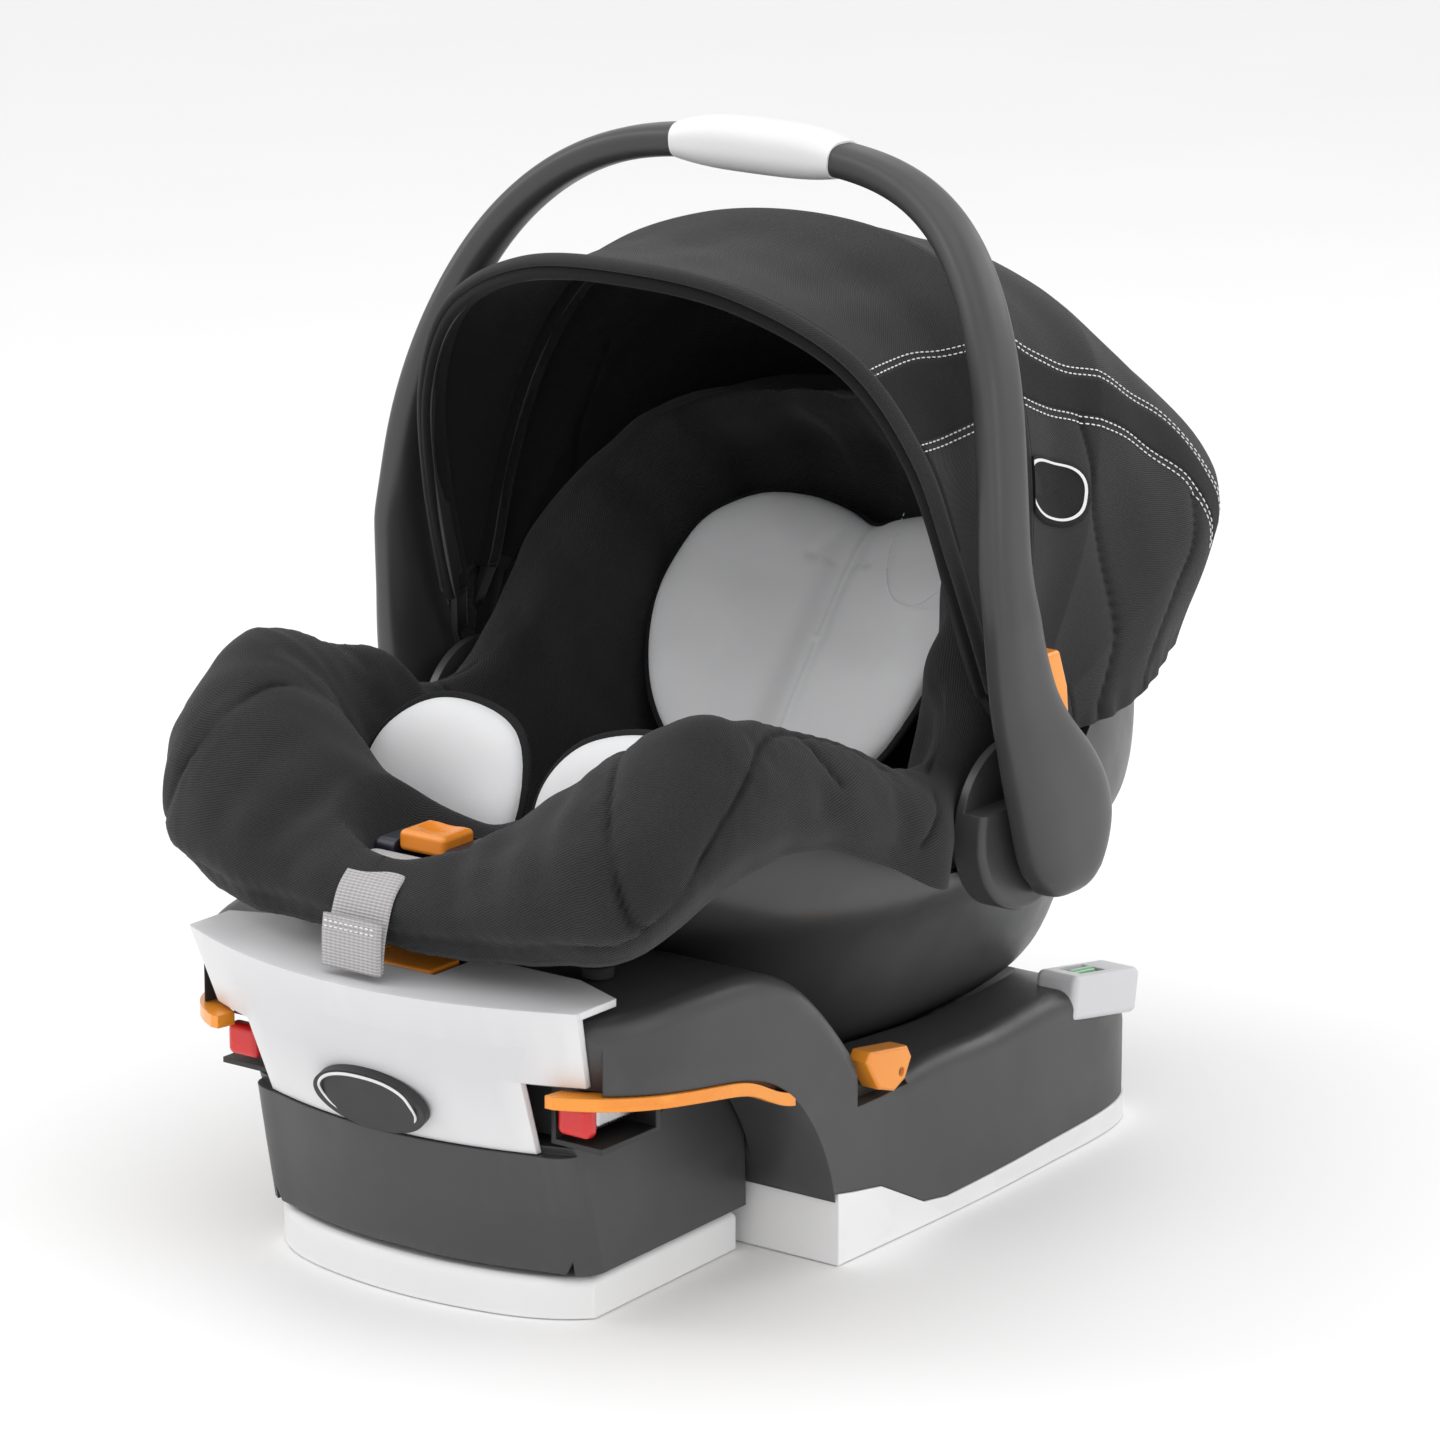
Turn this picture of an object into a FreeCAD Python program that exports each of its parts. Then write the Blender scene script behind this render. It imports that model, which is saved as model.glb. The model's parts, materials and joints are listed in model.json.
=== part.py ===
"""Infant car seat: carrier with handle and canopy, on a stay-in-car base.

Units are millimetres. The ground is z = 0, the foot end is -Y, the head end is +Y,
and the seat is symmetric about x = 0. The frame's origin is on the underside of the
base tray.
"""
import math
import os

import FreeCAD
import Part

V = FreeCAD.Vector

# ---- driving values -------------------------------------------------------------
WALL = 4.0                 # moulded wall thickness
GAP = 0.4                  # clearance between neighbouring mouldings
PEDESTAL_HALF = 106.0      # half width of the front pedestal and its foot
PEDESTAL_REAR = -117.0     # where the pedestal meets the rear body
FOOT_TOP = 99.0            # top of the sliding foot housing
FOOT_TRAVEL = 50.0         # how far the foot can be lowered
PAD_HEIGHT = 22.0          # height of the light foot pad
PANEL_TOP = 182.0          # top edge of the light front cover
HUB_Y = 7.0                # handle hub axis
HUB_Z = 225.0
POD_Y = 12.0               # middle of the round pods that the handle turns on
ARCH_HALF = 207.1          # half width of the handle arch centreline
ARCH_RISE = 339.35         # height of the arch over the hub axis
ARCH_POWER = 3.2           # superellipse power of the arch
CANOPY_Y = 16.0            # canopy pivot axis
CANOPY_Z = 248.0
BAR_PLACES = (-44.0, 146.0) # where the carrier's two lock bars lie along the seat
BOW_INSET = 9.0            # how far the bows sit under the canopy's cloth

PARTS = {}


# ---- helpers --------------------------------------------------------------------
def box(x0, x1, y0, y1, z0, z1):
    """A block between the given limits."""
    return Part.makeBox(x1 - x0, y1 - y0, z1 - z0, V(x0, y0, z0))


def cyl(radius, start, end):
    """A round bar from start to end."""
    a = V(*start)
    d = V(*end) - a
    return Part.makeCylinder(radius, d.Length, a, d)


def spline(points, closed=False):
    """A smooth edge through the points."""
    curve = Part.BSplineCurve()
    curve.interpolate([V(*p) for p in points], PeriodicFlag=closed)
    return curve.toShape()


def polygon(points):
    """A closed wire of straight edges."""
    ring = [V(*p) for p in points]
    return Part.makePolygon(ring + ring[:1])


def prism(wire, direction):
    """The solid swept by a closed flat wire along direction."""
    return Part.Face(wire).extrude(V(*direction))


def side_prism(points, x0, x1):
    """A block with the given (y, z) outline between x0 and x1."""
    return prism(polygon([(x0, y, z) for y, z in points]), (x1 - x0, 0, 0))


def smooth_side_prism(curve_points, corner_points, x0, x1):
    """As side_prism, with a smooth run first and straight corners after it."""
    edge = spline([(x0, y, z) for y, z in curve_points])
    ring = [curve_points[-1]] + list(corner_points) + [curve_points[0]]
    lines = [Part.makeLine(V(x0, *a), V(x0, *b)) for a, b in zip(ring, ring[1:])]
    return prism(Part.Wire([edge] + lines), (x1 - x0, 0, 0))


def front_prism(points, y0, y1):
    """A block with the given (x, z) outline between y0 and y1."""
    return prism(polygon([(x, y0, z) for x, z in points]), (0, y1 - y0, 0))


def ring(z, y0, y1, half, power=2.6, count=32):
    """A closed superellipse wire at height z, from y0 to y1 and half wide each side."""
    mid = (y0 + y1) / 2
    reach = (y1 - y0) / 2
    points = []
    for i in range(count):
        t = 2 * math.pi * (i + 0.5) / count
        c = math.cos(t)
        s = math.sin(t)
        x = math.copysign(abs(c) ** (2 / power), c) * half
        y = mid + math.copysign(abs(s) ** (2 / power), s) * reach
        points.append((x, y, z))
    return Part.Wire([spline(points, closed=True)])


def bucket(rows, grow=0.0, lift=0.0, power=2.6):
    """A solid lofted through (z, y0, y1, half) rows, grown sideways and lifted."""
    wires = [ring(z + lift, y0 - grow, y1 + grow, half + grow, power) for z, y0, y1, half in rows]
    return Part.makeLoft(wires, True, False)


def mirrored(shape):
    """The shape's mirror image across x = 0."""
    return shape.mirror(V(0, 0, 0), V(1, 0, 0))


def rounded(shape, radius, choose):
    """The shape with the chosen edges rounded."""
    edges = [e for e in shape.Edges if choose(e.BoundBox, e)]
    return shape.makeFillet(radius, edges)


def soft_box(x0, x1, y0, y1, z0, z1, radius):
    """A block with every edge rounded."""
    block = box(x0, x1, y0, y1, z0, z1)
    return block.makeFillet(radius, block.Edges)


def add(name, shape):
    """Registers one sub-part under its node name."""
    PARTS[name] = shape


def add_pair(name, right):
    """Registers a right-hand sub-part and its mirror image."""
    add(name + "_right", right)
    add(name + "_left", mirrored(right))


def add_set(name, right):
    """Registers a small right-hand fitting and its mirror image as one node."""
    add(name, Part.makeCompound([right, mirrored(right)]))


# ---- carrier shell rows, shared by the cradle ------------------------------------
SHELL_ROWS = [
    (78, -62, 176, 72), (86, -92, 204, 98), (102, -112, 222, 114), (135, -138, 234, 130),
    (170, -166, 243, 152), (196, -215, 250, 176), (222, -246, 256, 184), (262, -250, 262, 181),
    (310, -250, 262, 176), (360, -250, 256, 166), (410, -250, 246, 152),
]
RIM_LINE = [
    (-262, 214), (-236, 226), (-190, 240), (-140, 240), (-95, 226), (-40, 204), (8, 206),
    (50, 222), (100, 254), (160, 312), (210, 356), (262, 380),
]


def front_y(x, z):
    """How far forward the base's bowed front face stands at a height."""
    centre = -292 - 35 * (z - 94) / 88.0
    return centre + x * x / 520.0


def bowed_wall(z_rows, thickness, inset=0.0):
    """A wall that follows the bowed front, through (z, half) rows."""
    wires = []
    for z, half in z_rows:
        xs = [half * (i / 8.0 - 1) for i in range(17)]
        outer = [(x, front_y(x, z) + inset, z) for x in xs]
        inner = [(x, front_y(x, z) + inset + thickness, z) for x in reversed(xs)]
        edges = [spline(outer), Part.makeLine(V(*outer[-1]), V(*inner[0]))]
        edges += [spline(inner), Part.makeLine(V(*inner[-1]), V(*outer[0]))]
        wires.append(Part.Wire(edges))
    return Part.makeLoft(wires, True, True)


# ---- base -----------------------------------------------------------------------
TOP_LINE = [
    (-345, 158), (-318, 165), (-285, 171), (-250, 177), (-204, 180), (-165, 175), (-139, 162),
    (-112, 138), (-92, 115), (-74, 96), (-58, 90), (-30, 91), (40, 91), (95, 93), (140, 90),
    (176, 78), (198, 58), (210, 34),
]
UNDER_LINE = [
    (-345, 138), (-300, 136), (-271, 134), (-211, 128), (-177, 121), (-152, 107), (-133, 86),
    (-118, 58), (-111, 30), (-110, -25),
]


def plan_wire(z, inset=0.0):
    """The base's outline seen from above."""
    half = [
        (0, -319), (60, -313), (105, -298), (134, -279), (151, -252), (158, -215), (160, -150),
        (160, -60), (159, 40), (155, 120), (150, 170), (138, 196), (112, 206), (60, 209), (0, 209),
    ]
    pts = []
    for x, y in half:
        k = 1 - inset / 150.0
        pts.append((x * k, (y + 55) * k - 55, z))
    pts += [(-x, y, z) for x, y, z in reversed(pts[1:-1])]
    return Part.Wire([spline(pts, closed=True)])


def base_blank(inset=0.0):
    """The base's outer form before anything is cut from it."""
    plan = prism(plan_wire(-10, inset), (0, 0, 240))
    top = [(y, z - inset) for y, z in TOP_LINE]
    side = smooth_side_prism(top, [(top[-1][0] + 10, -10), (-345, -10)], -170, 170)
    return plan.common(side)


def under_wing(inset=0.0):
    """What is cut away below the wings and ahead of the rear body."""
    line = [(y + inset, z) for y, z in UNDER_LINE]
    return smooth_side_prism(line, [(-345, -25)], -175, 175)


def trim_line():
    """The (y, z) top edge of the light tray along each side."""
    return [(-112, 41), (-96, 38), (-70, 34), (-50, 24), (-30, 14), (-8, 11), (60, 12), (212, 15)]


def make_base():
    """The base's dark moulding, its light tray and its light front cover."""
    blank = base_blank()
    blank = rounded(blank, 11, lambda b, e: b.ZMin > 25 and b.ZLength > 1 and e.Length > 150)
    cradle = bucket(SHELL_ROWS[:8], grow=3.2, lift=-3.0)
    shell = blank.cut(cradle)
    neck = box(-PEDESTAL_HALF, PEDESTAL_HALF, -262, PEDESTAL_REAR, FOOT_TOP + 1, 200)
    shell = shell.cut(under_wing().cut(neck))
    shell = shell.cut(bowed_wall([(60, 134), (200, 134)], 45, inset=-40))
    cavities = [box(-128, 128, -100, 190, -20, 62), box(-150, 150, -96, 150, -20, 48)]
    cavities += [box(-96, 96, -256, -140, 60, 122)]
    side_cavity = box(128, 149, -52, 120, 40, 78)
    cavities += [side_cavity, mirrored(side_cavity)]
    # room for the foot housing, the lower anchor pockets, the lock bars and the tightener strap
    foot_half = PEDESTAL_HALF + 1.5
    cavities.append(box(-foot_half, foot_half, -320, PEDESTAL_REAR + 0.8, 0, FOOT_TOP + 0.6))
    pocket_room = box(94.6, 140, -300, -221.6, 99.6, 132.4)
    cavities += [pocket_room, mirrored(pocket_room)]
    cavities += [box(-62, 62, y - 6, y + 14, 55, 90) for y in BAR_PLACES]
    cavities.append(box(-19.6, 19.6, -262, -221.4, 178.4, 215))
    for piece in cavities:
        shell = shell.cut(piece)
    tray_room = side_prism(trim_line() + [(230, -30), (-112, -30)], -175, 175)
    shell = shell.cut(tray_room)
    # clearance for the two lock-off paddles
    for side in (1, -1):
        low, high = sorted((150 * side, 175 * side))
        shell = shell.cut(box(low, high, -92, -44, 84, 130))
    # guide sleeve for the foot, screw bosses and the catch bases
    sleeve = box(-34, 34, -228, -168, 104, 150).cut(box(-29, 29, -223, -173, 90, 145))
    shell = shell.fuse(sleeve)
    shell = shell.cut(box(-29, 29, -223, -173, 90, 145))
    add("base_shell", shell.removeSplitter())

    tray = prism(plan_wire(0, -0.6), (0, 0, 60))
    tray = tray.cut(box(-175, 175, -340, -110, -5, 80))
    side_view = [(y, z - GAP) for y, z in trim_line()] + [(230, 14), (230, -5), (-112, -5)]
    tray = tray.common(side_prism(side_view, -175, 175))
    tray = tray.cut(prism(plan_wire(4, 4.5), (0, 0, 80)).cut(box(-175, 175, -340, -106, -5, 90)))
    add("base_tray", tray)

    cover = bowed_wall([(94, 122), (137, 124), (160, 127), (PANEL_TOP, 130)], 4.0)
    for side in (1, -1):
        corner = [(87 * side, 60), (92 * side, 137.4), (150 * side, 137), (150 * side, 60)]
        notch = front_prism(corner, -360, -240)
        cover = cover.cut(notch)
    ledge = prism(plan_ledge(PANEL_TOP - 4), (0, 0, 4))
    cover = cover.fuse(ledge)
    cover = cover.cut(box(-30, 30, -286, -240, 165, 190))
    add("base_front_cover", cover)


def plan_ledge(z):
    """Outline of the front cover's top ledge."""
    xs = [130 * (i / 8.0 - 1) for i in range(17)]
    front = [(x, front_y(x, PANEL_TOP) + 2.2, z) for x in xs]
    back = [(130, -262, z), (96, -248, z), (-96, -248, z), (-130, -262, z)]
    chain = [front[-1]] + back + [front[0]]
    edges = [spline(front)] + [Part.makeLine(V(*a), V(*b)) for a, b in zip(chain, chain[1:])]
    return Part.Wire(edges)


def make_base_fittings():
    """Badge, levels, pockets, catches, bumpers, tightener, screws and pads on the base."""
    badge = Part.Ellipse(V(0, 0, 0), 37, 19).toShape()
    disc = Part.Face(Part.Wire([badge])).extrude(V(0, 0, 5))
    disc.rotate(V(0, 0, 0), V(1, 0, 0), 90)
    disc.rotate(V(0, 0, 0), V(1, 0, 0), 22)
    face = front_y(0, 114)
    disc.translate(V(0, face + 0.2, 114))
    back = bowed_wall([(80, 86), (137, 91)], 60, inset=0.2)
    add("front_badge", disc.cut(back).cut(PARTS["base_front_cover"]))

    bezel = soft_box(128, 156, 122, 188, 70, 96, 4)
    bezel.rotate(V(150, 156, 90), V(1, 0, 0), -9)
    window = box(134, 150, 134, 160, 92, 110)
    window.rotate(V(150, 156, 90), V(1, 0, 0), -9)
    vial = cyl(4.2, (142, 135, 95.5), (142, 158, 92.5))
    add_set("level_bezels", bezel.cut(window).cut(vial))
    add_set("level_vials", cyl(4.0, (142, 136, 95.4), (142, 157, 92.7)))
    PARTS["base_shell"] = PARTS["base_shell"].cut(bezel).cut(mirrored(bezel))

    bumper = Part.makeCylinder(8.5, 6, V(95, -232, 180.4))
    bumper = bumper.makeFillet(2, [bumper.Edges[0]])
    add_set("rest_bumpers", bumper)

    pocket = box(95, 128, -272, -222, 100, 132).cut(box(98, 140, -290, -226, 103, 129))
    add_pair("latch_pocket", pocket)
    body = soft_box(100, 117, -262, -228, 108, 124, 3)
    jaws = box(104, 113, -240, -220, 113, 119)
    well = box(105, 112, -270, -250, 113, 119)
    add_pair("latch_connector", body.cut(jaws).cut(well))
    button = soft_box(101, 122, -276, -266, 107, 125, 4)
    add_pair("latch_release", button.fuse(box(105.4, 111.6, -267, -256, 113.4, 118.6)))

    tab = soft_box(-25, 25, -284, -258, 178.4, 182.4, 1.8)
    add("tightener_tab", tab)
    add("tightener_webbing", box(-19, 19, -257.6, -222, 179.2, 180.8))

    for name, y in zip(("carrier_catch_front", "carrier_catch_rear"), BAR_PLACES):
        catch = box(-51, 51, y + 6.5, y + 24, 57.6, 61.6)
        for x in (46, -46):
            catch = catch.fuse(box(x - 5, x + 5, y + 6.5, y + 12.5, 57.6, 72))
        add(name, catch)

    screws = []
    for x, y in ((-120, -60), (120, -60), (-112, 150), (112, 150), (0, 40)):
        screw = Part.makeCylinder(4.5, 3.0, V(x, y, 4.2))
        screws.append(screw.cut(box(x - 3, x + 3, y - 0.6, y + 0.6, 5.6, 8)))
    add("tray_screws", Part.makeCompound(screws))


def make_foot():
    """The sliding foot: dark housing, light pad, guide post, and the two orange levers."""
    rows = [(25.4, 110), (60, 109), (FOOT_TOP - 1, 107)]
    wires = []
    for z, half in rows:
        xs = [(half - 5) * (i / 6.0 - 1) for i in range(13)]
        drop = -279 - 16 * (z - 25) / 74.0
        front = [(x, drop + x * x / 520.0, z) for x in xs]
        corner = front[-1][1] + 11
        front = [(-half, corner, z)] + front + [(half, corner, z)]
        edges = [spline(front)]
        rear = PEDESTAL_REAR - 1.5
        chain = [front[-1], (half - 4, rear, z), (-half + 4, rear, z), front[0]]
        edges += [Part.makeLine(V(*a), V(*b)) for a, b in zip(chain, chain[1:])]
        wires.append(Part.Wire(edges))
    outer = Part.makeLoft(wires, True, True)
    inner = box(-101, 101, -262, -123, 20, 95)
    housing = outer.cut(inner)
    post = box(-28.6, 28.6, -222.6, -173.4, 94, 141)
    post = post.cut(box(-24, 24, -218, -178, 80, 138))
    housing = housing.fuse(post).cut(box(-24, 24, -218, -178, 80, 138))
    crown = cyl(300, (0, -340, -274), (0, -240, -274))
    housing = housing.cut(crown).cut(bowed_wall([(93.4, 134), (101, 134)], 44.6, inset=-40))
    add("foot_housing", housing.removeSplitter())

    pad_plan = [(-106, -250), (-85, -266), (-45, -278), (0, -282), (45, -278), (85, -266), (106, -250)]
    chain = [(106, -250), (101, -121), (-101, -121), (-106, -250)]
    edges = [spline([(x, y, 0) for x, y in pad_plan])]
    edges += [Part.makeLine(V(*a, 0), V(*b, 0)) for a, b in zip(chain, chain[1:])]
    pad = Part.Face(Part.Wire(edges)).extrude(V(0, 0, PAD_HEIGHT))
    pad = pad.makeFillet(5, [e for e in pad.Edges if e.BoundBox.ZLength < 0.1 and e.BoundBox.ZMin > 20])
    pad = pad.cut(box(-90, 90, -240, -130, 4, 60))
    dome = cyl(296, (0, -340, -274), (0, -100, -274))
    rim = prism(polygon([(-97, -256, 0), (97, -256, 0), (97, -125, 0), (-97, -125, 0)]), (0, 0, 40))
    rim = rim.common(dome).cut(box(-90, 90, -240, -130, 4, 60))
    add("foot_pad", pad.fuse(rim).removeSplitter())

    run = [(-296, 129), (-271, 127), (-240, 124.5), (-211, 121), (-185, 115.5), (-166, 106.5),
           (-150, 101.5)]
    upper = [(y, z + 6.6) for y, z in run]
    lower = [(y, z - 0.6) for y, z in reversed(run)]
    edge_a = spline([(110, y, z) for y, z in upper])
    edge_b = spline([(110, y, z) for y, z in lower])
    ends = [Part.makeLine(V(110, *a[-1]), V(110, *b[0])) for a, b in ((upper, lower), (lower, upper))]
    strip = prism(Part.Wire([edge_a, ends[0], edge_b, ends[1]]), (60, 0, 0))
    strip = strip.common(prism(plan_wire(60, -1.5), (0, 0, 90)))
    core = prism(plan_wire(50, 6.5), (0, 0, 110)).cut(box(-175, 175, -156, -100, 40, 170))
    strip = strip.cut(core)
    lever = strip.cut(under_blank_clear())
    add_pair("foot_lever", max(lever.Solids, key=lambda s: s.Volume))


def under_blank_clear():
    """The space the base wings fill, used to keep the levers clear of them."""
    wing = [(y, z - 0.5) for y, z in UNDER_LINE]
    return smooth_side_prism(wing, [(-105, 200), (-345, 200)], -175, 175)


def make_lockoffs():
    """Belt lock-off paddles with their pins."""
    outline = [(-88, 108), (-84, 113), (-50, 108), (-46, 101), (-52, 90), (-62, 85.5), (-76, 90)]
    paddle = side_prism(outline, 151, 163)
    paddle = rounded(paddle, 1.6, lambda b, e: b.XLength < 0.1 and b.XMin > 162)
    hole = cyl(2.55, (148, -56, 95), (170, -56, 95))
    add_pair("lockoff_paddle", paddle.cut(hole))
    add_set("lockoff_pins", cyl(2.5, (146, -56, 95), (161, -56, 95)))
    bore = cyl(2.5, (146, -56, 95), (150.2, -56, 95))
    PARTS["base_shell"] = PARTS["base_shell"].cut(bore).cut(mirrored(bore))


# ---- carrier --------------------------------------------------------------------
def below_rim(extra=0.0):
    """Everything below the carrier's rim line."""
    line = [(y, z + extra) for y, z in RIM_LINE]
    corners = [(300, line[-1][1]), (300, 40), (-320, 40), (-320, line[0][1])]
    return smooth_side_prism(line, corners, -240, 240)


def make_carrier():
    """Shell, liner, lock bars, hubs, axles, belt guides and release handle."""
    shell = bucket(SHELL_ROWS).common(below_rim())
    inner = bucket([(z, a + WALL, b - WALL, h - WALL) for z, a, b, h in SHELL_ROWS], lift=WALL)
    shell = shell.cut(inner)
    pod = cyl(46, (180, POD_Y, 222), (198.6, POD_Y, 222))
    pod = pod.makeFillet(4, [e for e in pod.Edges if e.BoundBox.XMin > 198])
    bore = cyl(9.0, (160, HUB_Y, HUB_Z), (230, HUB_Y, HUB_Z))
    pod = pod.cut(bore).cut(cyl(13.3, (160, HUB_Y, HUB_Z), (178.3, HUB_Y, HUB_Z)))
    clear = cyl(13.4, (160, HUB_Y, HUB_Z), (200, HUB_Y, HUB_Z))
    shell = shell.cut(cyl(46.4, (179.6, POD_Y, 222), (210, POD_Y, 222)))
    shell = shell.cut(cyl(46.4, (-179.6, POD_Y, 222), (-210, POD_Y, 222)))
    shell = shell.cut(clear).cut(mirrored(clear))
    pod = pod.cut(box(185, 205, -60, 70, 236.6, 290))
    pod = pod.cut(cyl(4.0, (170, CANOPY_Y, CANOPY_Z), (200, CANOPY_Y, CANOPY_Z)))
    add_pair("hub_pod", pod)
    axle = cyl(8.9, (172, HUB_Y, HUB_Z), (224, HUB_Y, HUB_Z))
    axle = axle.fuse(cyl(13, (174, HUB_Y, HUB_Z), (178, HUB_Y, HUB_Z)))
    add_set("handle_axles", axle)

    skin_gap = WALL + 0.5
    rows = [(z, a + skin_gap, b - skin_gap, h - skin_gap) for z, a, b, h in SHELL_ROWS]
    liner = bucket(rows, lift=skin_gap).common(below_rim(-6))
    liner = liner.cut(box(-250, 250, -300, -120, 60, 500))
    liner = liner.cut(bucket(SEAT_ROWS, grow=14.6, lift=-14.6))
    for side in (1, -1):
        liner = liner.cut(cyl(16, (165 * side, HUB_Y, HUB_Z), (205 * side, HUB_Y, HUB_Z)))
    add("foam_liner", liner)

    bars = [cyl(3, (-58, y, 72.3), (58, y, 72.3)) for y in BAR_PLACES]
    for bar in bars:
        shell = shell.cut(bar)
    add("lock_bars", Part.makeCompound(bars))
    add("carrier_shell", shell.removeSplitter())

    guide = side_prism([(-84, 242), (-60, 248), (-56, 240), (-80, 232)], 176, 189)
    guide = guide.makeFillet(2, guide.Edges)
    add_pair("belt_guide", guide)

    rear = box(-52, 52, 248, 280, 228, 250)
    rear = rear.makeFillet(5, rear.Edges)
    rear = rear.cut(box(-41, 41, 262.5, 290, 231.5, 246.6))
    add("release_housing", rear.cut(bucket(SHELL_ROWS, grow=0.3)))
    add("release_handle", soft_box(-36, 36, 265, 278, 233.5, 242.5, 3))


# ---- seat soft goods ------------------------------------------------------------
SEAT_ROWS = [
    (128, -70, 6, 70), (150, -96, 40, 88), (180, -122, 72, 104), (215, -150, 104, 118),
    (250, -172, 136, 128), (300, -178, 172, 134), (360, -178, 206, 134), (440, -178, 236, 122),
]
LOBE_LINE = [
    (-300, 214), (-285, 262), (-250, 304), (-212, 318), (-175, 312), (-125, 290), (-90, 270),
    (-60, 256), (-25, 262), (10, 300), (48, 368), (100, 408), (170, 418), (240, 412),
]


def make_soft_seat():
    """Seat cover with its rolled front edge, and the two inserts."""
    line = smooth_side_prism(LOBE_LINE, [(300, 420), (300, 60), (-330, 60), (-330, 214)], -240, 240)
    seat = bucket(SEAT_ROWS)
    body = bucket(SEAT_ROWS, grow=14, lift=-14).common(line).cut(seat)
    legs = front_prism([(-62, 500), (-62, 268), (-40, 252), (40, 252), (62, 268), (62, 500)], -320, -120)
    body = body.cut(legs)
    add("seat_cover", body)

    roll_rows = [(206, -276, -60, 168), (216, -296, -50, 180), (240, -303, -50, 182), (262, -292, -50, 178),
                 (296, -262, -70, 166)]
    roll = bucket(roll_rows, power=3.4).common(line)
    inside = bucket(SEAT_ROWS, grow=14.6, lift=-14.6)
    rim = bucket([(z, a - 1, b + 1, h + 1) for z, a, b, h in SHELL_ROWS[4:]]).common(below_rim(1.0))
    roll = roll.cut(inside).cut(rim).cut(legs).cut(box(-34, 34, -330, -205, 222, 330))
    roll = roll.cut(box(174, 192, -88, -52, 228, 252)).cut(box(-192, -174, -88, -52, 228, 252))
    roll = roll.cut(box(-240, 240, -46, 100, 150, 400))
    add("cover_front_roll", max(roll.Solids, key=lambda s: s.Volume))

    nest = bucket(SEAT_ROWS, grow=-1.5, lift=1.5)
    lower = bucket([(130, -68, 4, 70), (150, -95, 38, 88), (196, -132, 60, 110)])
    lower = lower.cut(bucket([(158, -62, 10, 44), (200, -100, 60, 60)]))
    for side in (1, -1):
        low, high = sorted((48 * side, 96 * side))
        lower = lower.fuse(soft_box(low, high, -172, -92, 186, 260, 16))
        lower = lower.fuse(soft_box(low, high, -118, -38, 176, 226, 12))
    lower = lower.common(nest).cut(box(-24, 24, -140, 0, 120, 240))
    add("lower_insert", max(lower.Solids, key=lambda s: s.Volume))

    slab = side_prism([(36, 156), (66, 187), (96, 222), (126, 257), (148, 290), (152, 324),
                       (138, 324), (122, 300), (105, 270), (80, 238), (50, 204), (22, 172)], -92, 92)
    wings = side_prism([(-6, 196), (14, 262), (62, 316), (118, 326), (136, 318), (110, 276),
                        (82, 241), (52, 207)], 66, 96)
    upper = slab.fuse([wings, mirrored(wings)]).common(nest)
    add("upper_insert", upper)


def make_harness():
    """Straps, buckle, splitter plate, adjuster and its webbing."""
    strap = side_prism([(37, 153.6), (67, 184.6), (97, 219.6), (127, 254.4), (149, 288), (153.4, 326),
                        (155, 326), (150.6, 287.4), (128.4, 253.2), (98.2, 218.4), (68.2, 183.4),
                        (38.2, 152.4)], 22, 60)
    add_pair("shoulder_strap", strap)
    hip = box(46, 84, -58, -20, 155.6, 157.2).common(bucket(SEAT_ROWS, grow=-1.5, lift=1.5))
    add_set("hip_straps", hip)
    add_set("buckle_tongues", soft_box(21, 44, -62, -44, 166, 169, 1.2))
    housing = soft_box(-20, 20, -84, -36, 158, 176, 5)
    add("buckle_housing", housing.cut(box(-12.4, 12.4, -73.4, -51.6, 164, 190)))
    add("buckle_button", soft_box(-12, 12, -73, -52, 168.6, 177, 1.6))
    add("crotch_strap", box(-18, 18, -61, -59.4, 130, 157.6))
    add("splitter_plate", box(-24, 24, 262, 264, 190, 214).cut(box(-17, 17, 250, 275, 198, 206)))

    bezel = soft_box(-32, 32, -262, -226, 226, 240, 5)
    bezel = bezel.cut(box(-16.4, 16.4, -275, -230, 231, 250))
    add("adjuster_bezel", bezel)
    lever = soft_box(-15.5, 15.5, -259, -233, 234.6, 246, 3)
    lever = lever.cut(Part.makeSphere(26, V(0, -243, 269)))
    add("adjuster_lever", lever)
    tail = spline([(0, -263, 233), (0, -285, 236), (0, -304, 226), (0, -311.5, 205), (0, -312, 186)])
    back = spline([(0, -263, 231.4), (0, -285, 234.4), (0, -302.5, 225), (0, -310, 205), (0, -310.5, 186)])
    ends = [Part.makeLine(V(0, -312, 186), V(0, -310.5, 186)),
            Part.makeLine(V(0, -263, 231.4), V(0, -263, 233))]
    web = Part.Face(Part.Wire([tail, ends[0], back, ends[1]])).extrude(V(38, 0, 0))
    web.translate(V(-19, 0, 0))
    add("adjuster_webbing", web)


# ---- handle ---------------------------------------------------------------------
def arch_point(t):
    """Centreline of the handle arch: t runs 0 at the right hub to pi at the left."""
    c = abs(math.cos(t)) ** (2 / ARCH_POWER)
    s = math.sin(t) ** (2 / ARCH_POWER) if math.sin(t) > 1e-9 else 0.0
    y = 10.8 - 133.9 * s + 162.1 * s * s
    return V(math.copysign(ARCH_HALF * c, math.cos(t)), y, HUB_Z + ARCH_RISE * s)


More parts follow.
